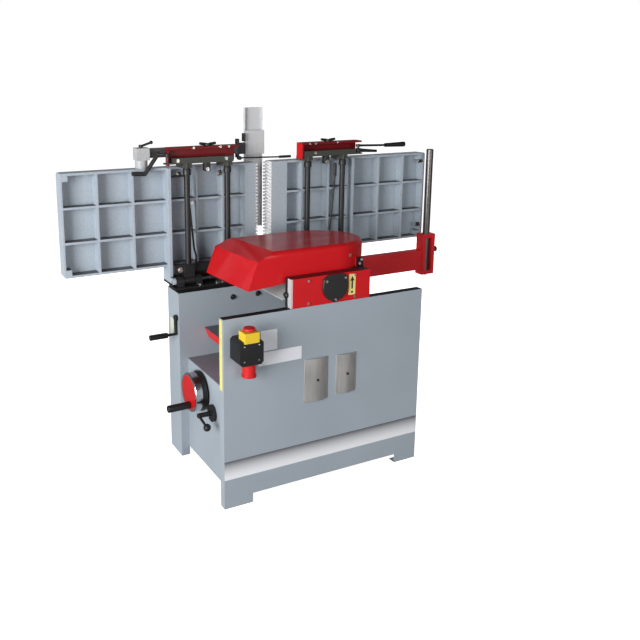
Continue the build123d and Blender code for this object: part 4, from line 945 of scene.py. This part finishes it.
# %% [markdown]
# A yellow plate on the cheek's cover shows which way the cutterhead turns, by a plain arrow. The arrow is
# cut out as a shape of its own and laid on the plate, which keeps its edge crisp at any distance.

# %% Direction plate
ARROW_PLATE = (31 * MM, 84 * MM)
ARROW_PLATE_INSET = 69 * MM
ARROW_PLATE_RISE = 21 * MM
ARROW_TIP = 34 * MM
ARROW_NECK = 15 * MM
ARROW_FOOT = -17 * MM
ARROW_HALF = 10 * MM
SHAFT_HALF = 3.5 * MM
INK_LIFTS = (1.5 * FOIL, 2.6 * FOIL)
DOT_HEIGHT = -30 * MM
DOT_PROFILE = ((0, 4.5), (0.55, 4.5))
INK = moulded("black_ink", shade(30, 28, 24), roughness=0.5, texture=FOIL_TEXTURE)
right_side = [(SHAFT_HALF, ARROW_FOOT), (SHAFT_HALF, ARROW_NECK), (ARROW_HALF, ARROW_NECK), (0.0, ARROW_TIP)]
left_side = [(-ARROW_HALF, ARROW_NECK), (-SHAFT_HALF, ARROW_NECK), (-SHAFT_HALF, ARROW_FOOT)]
arrow_x = high("cheek_cover").x - ARROW_PLATE_INSET - ARROW_PLATE[0] / 2
arrow_z = low("cheek_cover").z + ARROW_PLATE_RISE + ARROW_PLATE[1] / 2
arrow_middle = Vector((arrow_x, low("cheek_cover").y, arrow_z))
arrow_form = (arrow_middle, FRONT, ARROW_PLATE, PLATE_DEPTH, PLATE_CORNER)
plate_piece("direction_plate", YELLOW_FOIL, "base", "yellow_plastic", *arrow_form)
shape = bmesh.new()
loft(shape, [[arrow_middle + Vector((u, -lift, v)) for u, v in right_side + left_side] for lift in INK_LIFTS])
turned(shape, arrow_middle + Vector((0.0, -INK_LIFTS[0], DOT_HEIGHT)), -Y_AXIS, DOT_PROFILE)
piece("direction_arrow", shape, INK, "base")

# %% [markdown]
# The column is closed at the back by a screwed-on sheet with pressed louvres, so that the motor gets air.
# It is kept plain. The sheet is one plate, and its louvres and screws come further down.

# %% Rear cover
REAR_COVER_WIDTH = 640 * MM
REAR_COVER_LOW = 120 * MM
REAR_COVER_HIGH = 620 * MM
REAR_COVER_SHEET = 1.5 * MM
REAR_COVER_CORNER = 8 * MM
rear_height = (REAR_COVER_LOW + REAR_COVER_HIGH) / 2
rear_middle = Vector((middle("rear_column").x, high("rear_column").y, rear_height))
rear_size = (REAR_COVER_WIDTH, REAR_COVER_HIGH - REAR_COVER_LOW)
rear_form = (rear_middle, BACK, rear_size, REAR_COVER_SHEET, REAR_COVER_CORNER)
plate_piece("rear_cover", CABINET, "base", "cabinet", *rear_form)

# %% [markdown]
# The small parts around the tables are turned or sawn: black collars where the round bars meet the upper
# crossbar, and a clevis under each crossbar. They are placed from the hinge line, because everything up
# here swings about it.

# %% Collars and clevises
COLLAR_PROFILE = ((0, 15), (2, 17), (24, 17), (27, 15))
COLLAR_RISE = 450 * MM
BAR_PLACES = (199 * MM, 384 * MM)
BAR_SETBACK = 5 * MM
CLEVIS_PLACE = 294 * MM
CLEVIS_SIZE = (26 * MM, 40 * MM)
CLEVIS_RISE = 482 * MM
CLEVIS_DEPTH = 24 * MM
CLEVIS_CORNER = 5 * MM
hinge = middle("hinge_pins")
for side, body in ((-1, "outfeed_table"), (1, "infeed_table")):
    shape = bmesh.new()
    for place in BAR_PLACES:
        turned(shape, hinge + Vector((side * place, BAR_SETBACK, COLLAR_RISE)), Z_AXIS, COLLAR_PROFILE)
    clevis = hinge + Vector((side * CLEVIS_PLACE, BAR_SETBACK + CLEVIS_DEPTH / 2, CLEVIS_RISE))
    plate(shape, clevis, FRONT, CLEVIS_SIZE, CLEVIS_DEPTH, CLEVIS_CORNER)
    piece(body + "_collars", shape, BLACK, body)

# %% [markdown]
# A few single details remain: a dark band where the guard's arm leaves its block, a plug in the end of the
# front cheek, a thin black plate as painted shade for the slot that the feed lever moves in, and the nuts
# that close the infeed table's end. They are short turned or plate shapes, each set on the face that carries
# it.

# %% Band, plug, slot and end nuts
BAND_PLACE = Vector((POST_LENGTH, 39 * MM, 59.5 * MM))
BAND_SIZE = (14 * MM, 45 * MM)
BAND_DEPTH = 8 * MM
BAND_CORNER = 2 * MM
PLUG_PROFILE = ((-1, 12), (9, 12), (12, 9))
PLUG_SETBACK = 29 * MM
PLUG_DROP = 66 * MM
SLOT_PLACE = Vector((-FEED_FOIL, 60 * MM, 570 * MM))
SLOT_SIZE = (7 * MM, 56 * MM)
SLOT_DEPTH = 0.1 * MM
END_WALL = 10 * MM
END_NUT_PLACES = (118 * MM, 438 * MM)
END_NUT_SETBACK = 65 * MM
NUT_SIDES = 6
NUT_PROFILE = ((6, 9), (7, 11), (17, 11), (18, 9))
STUD_PROFILE = ((-1, 13), (2, 13), (2.1, 6), (24, 6), (25, 5))

band_form = (low("guard_arm") + BAND_PLACE, RIGHT, BAND_SIZE, BAND_DEPTH, BAND_CORNER)
plate_piece("guard_arm_band", BLACK, "outfeed_table", "dark_steel", *band_form)

shape = bmesh.new()
cheek = Vector((low("front_cheek").x, low("front_cheek").y + PLUG_SETBACK, high("front_cheek").z - PLUG_DROP))
turned(shape, cheek, -X_AXIS, PLUG_PROFILE)
piece("cheek_plug", shape, BLACK_PLASTIC, "base")

# Painted shade: a thin black plate stands in for the dark of the feed lever's slot.
slot_form = (column_corner + SLOT_PLACE, LEFT, SLOT_SIZE, SLOT_DEPTH, PLATE_CORNER)
plate_piece("feed_slot_shade", BLACK_PLASTIC, "base", "black_plastic", *slot_form)

nuts = bmesh.new()
studs = bmesh.new()
for rise in END_NUT_PLACES:
    place = Vector((high("infeed_table").x - END_WALL, hinge.y + END_NUT_SETBACK, hinge.z + rise))
    turned(nuts, place, -X_AXIS, NUT_PROFILE, NUT_SIDES)
    turned(studs, place, -X_AXIS, STUD_PROFILE)
piece("table_end_nuts", nuts, BLACK, "infeed_table")
piece("table_end_studs", studs, ZINC, "infeed_table")

# %% [markdown]
# Every tree of Geometry Nodes here ends in the same way: its shape goes on points, the copies become real
# faces, and they get their finish. Each point carries its direction and its size as attributes, which the
# tree reads by name. Once a tree has run, its result is kept as one plain mesh.

# %% Copies on points


def cylinder(tree, vertices, radius, depth):
    """A cylinder about its middle."""
    inputs = {"Vertices": vertices, "Radius": radius, "Depth": depth}
    return add(tree, "GeometryNodeMeshCylinder", inputs).outputs


def lifted(tree, mesh, height):
    """A mesh moved up by a height."""
    way = add(tree, "ShaderNodeCombineXYZ", {"Z": height}).outputs[0]
    return add(tree, "GeometryNodeTransform", {"Geometry": mesh, "Translation": way}).outputs["Geometry"]


def raised(tree, mesh, faces, height):
    """Faces pulled out by a height, or pushed in by a negative one."""
    inputs = {"Mesh": mesh, "Selection": faces, "Offset Scale": height, "Individual": False}
    pulled = add(tree, "GeometryNodeExtrudeMesh", inputs)
    return pulled.outputs["Mesh"], pulled.outputs["Top"]


def narrowed(tree, mesh, faces, share):
    """Faces scaled about their middle."""
    inputs = {"Geometry": mesh, "Selection": faces, "Scale": share}
    return add(tree, "GeometryNodeScaleElements", inputs).outputs["Geometry"]


def set_on_points(tree, given, shape, out):
    """Puts a shape on every point, turned and scaled by the point's own values, as real faces."""
    way = add(tree, "GeometryNodeInputNamedAttribute", {"Name": "direction"}, data_type="FLOAT_VECTOR")
    size = add(tree, "GeometryNodeInputNamedAttribute", {"Name": "size"}, data_type="FLOAT")
    turn = add(tree, "FunctionNodeAlignRotationToVector", {"Vector": way.outputs["Attribute"]}, axis="Z")
    inputs = {"Points": given["Points"], "Instance": shape, "Rotation": turn.outputs[0]}
    inputs["Scale"] = size.outputs["Attribute"]
    copies = add(tree, "GeometryNodeInstanceOnPoints", inputs).outputs[0]
    real = add(tree, "GeometryNodeRealizeInstances", {"Geometry": copies}).outputs[0]
    coated = add(tree, "GeometryNodeSetMaterial", {"Geometry": real, "Material": given["Finish"]}).outputs[0]
    feed(tree, coated, out)
    tree.is_modifier = True
    tell(tree)


def grow(name, tree, spots, values, body):
    """Runs a tree on spots of place, direction and size, and keeps the result as one plain mesh."""
    seed_mesh = bpy.data.meshes.new(name + "_spots")
    seed_mesh.from_pydata([place for place, way, size in spots], [], [])
    seed_mesh.attributes.new("direction", "FLOAT_VECTOR", "POINT")
    seed_mesh.attributes.new("size", "FLOAT", "POINT")
    for index, (place, way, size) in enumerate(spots):
        seed_mesh.attributes["direction"].data[index].vector = way
        seed_mesh.attributes["size"].data[index].value = size
    seed = bpy.data.objects.new(name + "_spots", seed_mesh)
    scene.collection.objects.link(seed)
    modifier = seed.modifiers.new(tree.name, "NODES")
    modifier.node_group = tree
    for socket in tree.interface.items_tree:
        if socket.name in values:
            modifier[socket.identifier] = values[socket.name]
    evaluated = seed.evaluated_get(bpy.context.evaluated_depsgraph_get())
    mesh = bpy.data.meshes.new_from_object(evaluated)
    mesh.name = name
    seed.modifiers.remove(modifier)
    bpy.data.objects.remove(seed)
    keep(name, mesh, body)


print("points carry direction and size")

# %% [markdown]
# Bolts sit everywhere on a machine, and they differ only in place, direction and size. That is work for
# Geometry Nodes: one tree makes a head of radius 1 with a chamfer, a socket or dish, and a washer, and puts
# it on every point. Copies by hand would be hard to change.

# %% Bolt tree
WASHER_SIDES = 20
WASHER_LIFT = 0.4
BOLTS, given, result = new_group(
    "bolt_heads",
    SHAPER,
    {
        "Points": GEOMETRY,
        "Sides": 6,
        "Head Height": 0.6,
        "Chamfer": 0.1,
        "Socket Width": 0.7,
        "Socket Depth": 0.05,
        "Washer Width": 1.35,
        "Washer Height": 0.16,
        "Finish": MATERIAL,
    },
    {"Bolts": GEOMETRY},
)
tree = BOLTS
blank = cylinder(tree, given["Sides"], 1.0, given["Head Height"])
head, top = raised(tree, blank["Mesh"], blank["Top"], given["Chamfer"])
head = narrowed(tree, head, top, math_node(tree, "SUBTRACT", 1.0, given["Chamfer"]))
head, top = raised(tree, head, top, 0.0)
head = narrowed(tree, head, top, given["Socket Width"])
head, top = raised(tree, head, top, times(tree, given["Socket Depth"], -1.0))
seat = times(tree, given["Head Height"], 0.5)
head = lifted(tree, head, math_node(tree, "ADD", seat, given["Washer Height"]))
washer = cylinder(tree, WASHER_SIDES, given["Washer Width"], given["Washer Height"])["Mesh"]
washer = lifted(tree, washer, times(tree, given["Washer Height"], WASHER_LIFT))
bolt = tree.nodes.new("GeometryNodeJoinGeometry")
feed(tree, head, bolt.inputs[0])
feed(tree, washer, bolt.inputs[0])
set_on_points(tree, given, bolt.outputs[0], result["Bolts"])

# %% [markdown]
# Now the bolts are only lists of places. Those of the two swinging tables are measured from the hinge line:
# on the upper ribs, along both crossbars and on the covers' front lips. They are zinc-plated and catch the
# light.

# %% Table bolts
RIB_FACE = 52
TOP_BAR_FACE = -11
LOW_BAR_FACE = 5
COVER_FACE = -1
CLEVIS_FACE = -7
TABLE_BOLTS = {
    # from the hinge line, in millimetres: across, back, up, and the head's radius
    "outfeed_table": (
        (-402, RIB_FACE, 447, 9), (-216, RIB_FACE, 444, 9), (-345, RIB_FACE, 322, 5),
        (-428, TOP_BAR_FACE, 512, 5.5), (-210, TOP_BAR_FACE, 512, 5.5), (-294, CLEVIS_FACE, 470, 6),
        (-193, COVER_FACE, 561, 4), (-232, COVER_FACE, 561, 4), (-353, COVER_FACE, 561, 4),
        (-421, LOW_BAR_FACE, 46, 9),
    ),
    "infeed_table": (
        (333, RIB_FACE, 469, 9), (231, TOP_BAR_FACE, 512, 5.5), (294, CLEVIS_FACE, 470, 7),
        (206, COVER_FACE, 555, 4), (237, COVER_FACE, 555, 4), (353, COVER_FACE, 555, 4),
        (421, LOW_BAR_FACE, 46, 9),
    ),
}
HEX = {"Finish": ZINC}
for body, places in TABLE_BOLTS.items():
    spots = [(hinge + Vector((x, y, z)) * MM, -Y_AXIS, radius * MM) for x, y, z, radius in places]
    grow(body + "_bolts", BOLTS, spots, HEX, body)

# %% [markdown]
# The fixed parts have bolts too. The pedestals are bolted down to the column, two dark bolts hold the rear
# cheek through the column's front, and the switch box and the rear cover have small round-headed screws
# with a socket: the same tree with more sides and a deeper socket.

# %% Bolts of the cabinet
PEDESTAL_BOLTS = (342, 264, 238)
PEDESTAL_BOLT_LEAD = -24
PEDESTAL_TOP = -20
PEDESTAL_BOLT_RADIUS = 7.5 * MM
COLUMN_BOLTS = (248 * MM, 368 * MM)
COLUMN_BOLT_DROP = 47 * MM
COLUMN_BOLT_RADIUS = 9 * MM
SWITCH_SCREW_INSET = 18 * MM
SWITCH_SCREW_RADIUS = 2.6 * MM
REAR_SCREW_INSET = 13.5 * MM
REAR_SCREW_RADIUS = 5 * MM
SOCKET_HEAD = {"Sides": 16, "Socket Width": 0.55, "Socket Depth": 0.35, "Washer Width": 1.1}


def corners(centre, way, size, inset):
    """Four places near the corners of a plate."""
    right, up = way
    half_u = size[0] / 2 - inset
    half_v = size[1] / 2 - inset
    return [centre + u * right + v * up for u in (-half_u, half_u) for v in (-half_v, half_v)]


spots = []
for side in (-1, 1):
    for x in PEDESTAL_BOLTS:
        place = hinge + Vector((side * x, PEDESTAL_BOLT_LEAD, PEDESTAL_TOP)) * MM
        spots.append((place, Z_AXIS, PEDESTAL_BOLT_RADIUS))
grow("pedestal_bolts", BOLTS, spots, HEX, "base")

bolt_height = high("rear_column").z - COLUMN_BOLT_DROP
places = [column_corner + Vector((x, 0.0, bolt_height)) for x in COLUMN_BOLTS]
spots = [(place, -Y_AXIS, COLUMN_BOLT_RADIUS) for place in places]
grow("column_bolts", BOLTS, spots, {"Finish": BLACK}, "base")

box_size = span("switch_box")
box_face = Vector((middle("switch_box").x, low("switch_box").y, middle("switch_box").z))
places = corners(box_face, FRONT, (box_size.x, box_size.z), SWITCH_SCREW_INSET)
spots = [(place, -Y_AXIS, SWITCH_SCREW_RADIUS) for place in places]
grow("switch_screws", BOLTS, spots, {"Finish": ZINC, **SOCKET_HEAD}, "base")

rear_face = rear_middle + REAR_COVER_SHEET * Y_AXIS
places = corners(rear_face, BACK, rear_size, REAR_SCREW_INSET)
places += corners(rear_face, BACK, (rear_size[0], rear_size[1] / 3), REAR_SCREW_INSET)
spots = [(place, Y_AXIS, REAR_SCREW_RADIUS) for place in places]
grow("rear_cover_screws", BOLTS, spots, {"Finish": BLACK, **SOCKET_HEAD}, "base")

# %% [markdown]
# The hood turns on a rod and is held by two bolts on its front lug and one on its rounded end. The rounded
# end is part of a cylinder, so that bolt looks along the cylinder's radius.

# %% Hood bolts
LUG_BOLTS = ((-4 * MM, 882 * MM), (5 * MM, 897 * MM))
LUG_BOLT_RADIUS = 4.5 * MM
END_BOLT_HEIGHT = 918 * MM
END_BOLT_TURN = math.radians(-75)
END_BOLT_RADIUS = 5 * MM
END_ROUND = 194 * MM
END_SETBACK = 2 * MM
hood_front = low("hood_shell").y
lug_x = middle("hood_rod").x
spots = [(Vector((lug_x + x, hood_front, z)), -Y_AXIS, LUG_BOLT_RADIUS) for x, z in LUG_BOLTS]
outward = Vector((math.cos(END_BOLT_TURN), math.sin(END_BOLT_TURN), 0.0))
end_x = high("hood_shell").x - END_ROUND
end_middle = Vector((end_x, hood_front + END_SETBACK + END_ROUND, END_BOLT_HEIGHT))
spots.append((end_middle + END_ROUND * outward, outward, END_BOLT_RADIUS))
grow("hood_bolts", BOLTS, spots, HEX, "hood")

# %% [markdown]
# The infeed roller bites into the wood with slanting teeth. They follow a rule, a helix repeated round the
# axis, so Geometry Nodes can make them from a few numbers: a line is resampled, wound round the axis,
# thickened into a tooth, and copied round the roller.

# %% Slanted teeth of the infeed roller
HELIX_POINTS = 16
TOOTH_SIDES = 6
ROLLER_END = 22 * MM
ROLLER_BACK = 46 * MM
TEETH, given, result = new_group(
    "slanted_teeth",
    SHAPER,
    {
        "Points": GEOMETRY,
        "Length": 0.4,
        "Radius": 0.018,
        "Turn": 1.2,
        "Teeth": 18,
        "Tooth Radius": 0.0014,
        "Finish": MATERIAL,
    },
    {"Toothing": GEOMETRY},
)
tree = TEETH
far_end = add(tree, "ShaderNodeCombineXYZ", {"Z": given["Length"]}).outputs[0]
line = add(tree, "GeometryNodeCurvePrimitiveLine", {"End": far_end}).outputs["Curve"]
line = add(tree, "GeometryNodeResampleCurve", {"Curve": line, "Count": HELIX_POINTS}).outputs["Curve"]
along = split_height(tree, tree.nodes.new("GeometryNodeInputPosition").outputs[0])
angle = times(tree, math_node(tree, "DIVIDE", along, given["Length"]), given["Turn"])
across = times(tree, math_node(tree, "COSINE", angle), given["Radius"])
away = times(tree, math_node(tree, "SINE", angle), given["Radius"])
wound = add(tree, "ShaderNodeCombineXYZ", {"X": across, "Y": away, "Z": along}).outputs[0]
helix = add(tree, "GeometryNodeSetPosition", {"Geometry": line, "Position": wound}).outputs[0]
ring = {"Resolution": TOOTH_SIDES, "Radius": given["Tooth Radius"]}
section = add(tree, "GeometryNodeCurvePrimitiveCircle", ring).outputs["Curve"]
sweep = {"Curve": helix, "Profile Curve": section, "Fill Caps": True}
tooth = add(tree, "GeometryNodeCurveToMesh", sweep).outputs["Mesh"]
number = tree.nodes.new("GeometryNodeInputIndex").outputs[0]
step = math_node(tree, "DIVIDE", 2 * math.pi, given["Teeth"])
turn = add(tree, "ShaderNodeCombineXYZ", {"Z": times(tree, number, step)}).outputs[0]
hub = add(tree, "GeometryNodePoints", {"Count": given["Teeth"]}).outputs[0]
copies = {"Points": hub, "Instance": tooth, "Rotation": turn}
teeth = add(tree, "GeometryNodeInstanceOnPoints", copies).outputs[0]
set_on_points(tree, given, teeth, result["Toothing"])

roller = middle("infeed_roller")
teeth_start = Vector((roller.x, low("infeed_roller").y + ROLLER_BACK, roller.z))
teeth_length = span("infeed_roller").y - ROLLER_BACK - ROLLER_END
values = {"Length": teeth_length, "Radius": span("infeed_roller").x / 2, "Finish": BRIGHT}
grow("infeed_roller_teeth", TEETH, [(teeth_start, Y_AXIS, 1.0)], values, "infeed_roller")

# %% [markdown]
# The louvres of the rear cover are pressed out of its sheet in rows. One louvre is a long round bulge with
# drawn-in ends, half sunk into the sheet, and the tree copies it to every point of the grid.

# %% Louvres of the rear cover
LOUVRE_SIDES = 20
LOUVRE_TIP = 0.45
LOUVRE_COLUMNS = (-150 * MM, 0.0, 150 * MM)
LOUVRE_ROWS = 8
LOUVRE_PITCH = 26 * MM
LOUVRES, given, result = new_group(
    "pressed_louvres",
    SHAPER,
    {"Points": GEOMETRY, "Length": 0.12, "Height": 0.007, "Depth": 0.005, "End": 0.05, "Finish": MATERIAL},
    {"Louvres": GEOMETRY},
)
tree = LOUVRES
bulge = cylinder(tree, LOUVRE_SIDES, 1.0, 1.0)
ends = add(tree, "FunctionNodeBooleanMath", {0: bulge["Top"], 1: bulge["Bottom"]}, operation="OR").outputs[0]
mesh, tips = raised(tree, bulge["Mesh"], ends, given["End"])
mesh = narrowed(tree, mesh, tips, LOUVRE_TIP)
sizes = {"X": given["Height"], "Y": given["Depth"], "Z": given["Length"]}
stretch = add(tree, "ShaderNodeCombineXYZ", sizes).outputs[0]
pressed = add(tree, "GeometryNodeTransform", {"Geometry": mesh, "Scale": stretch}).outputs["Geometry"]
set_on_points(tree, given, pressed, result["Louvres"])

rises = [(row - (LOUVRE_ROWS - 1) / 2) * LOUVRE_PITCH for row in range(LOUVRE_ROWS)]
places = [rear_face + Vector((across, 0.0, rise)) for across in LOUVRE_COLUMNS for rise in rises]
spots = [(place, X_AXIS, 1.0) for place in places]
grow("rear_louvres", LOUVRES, spots, {"Finish": CABINET}, "base")

# %% [markdown]
# Two lists close the lesson. Every solid has to have a finish of its own, and the dressed machine has to
# stay in the box that the imported model came with, so the solids without a finish and both boxes are
# printed.

undressed = sorted(set(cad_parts) - dressed)
print("solids without a finish:", undressed)
dressed_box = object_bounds()
sizes = {"cad": [list(corner) for corner in cad_box], "dressed": [list(corner) for corner in dressed_box]}
print("box before", sizes["cad"], "and after", sizes["dressed"])
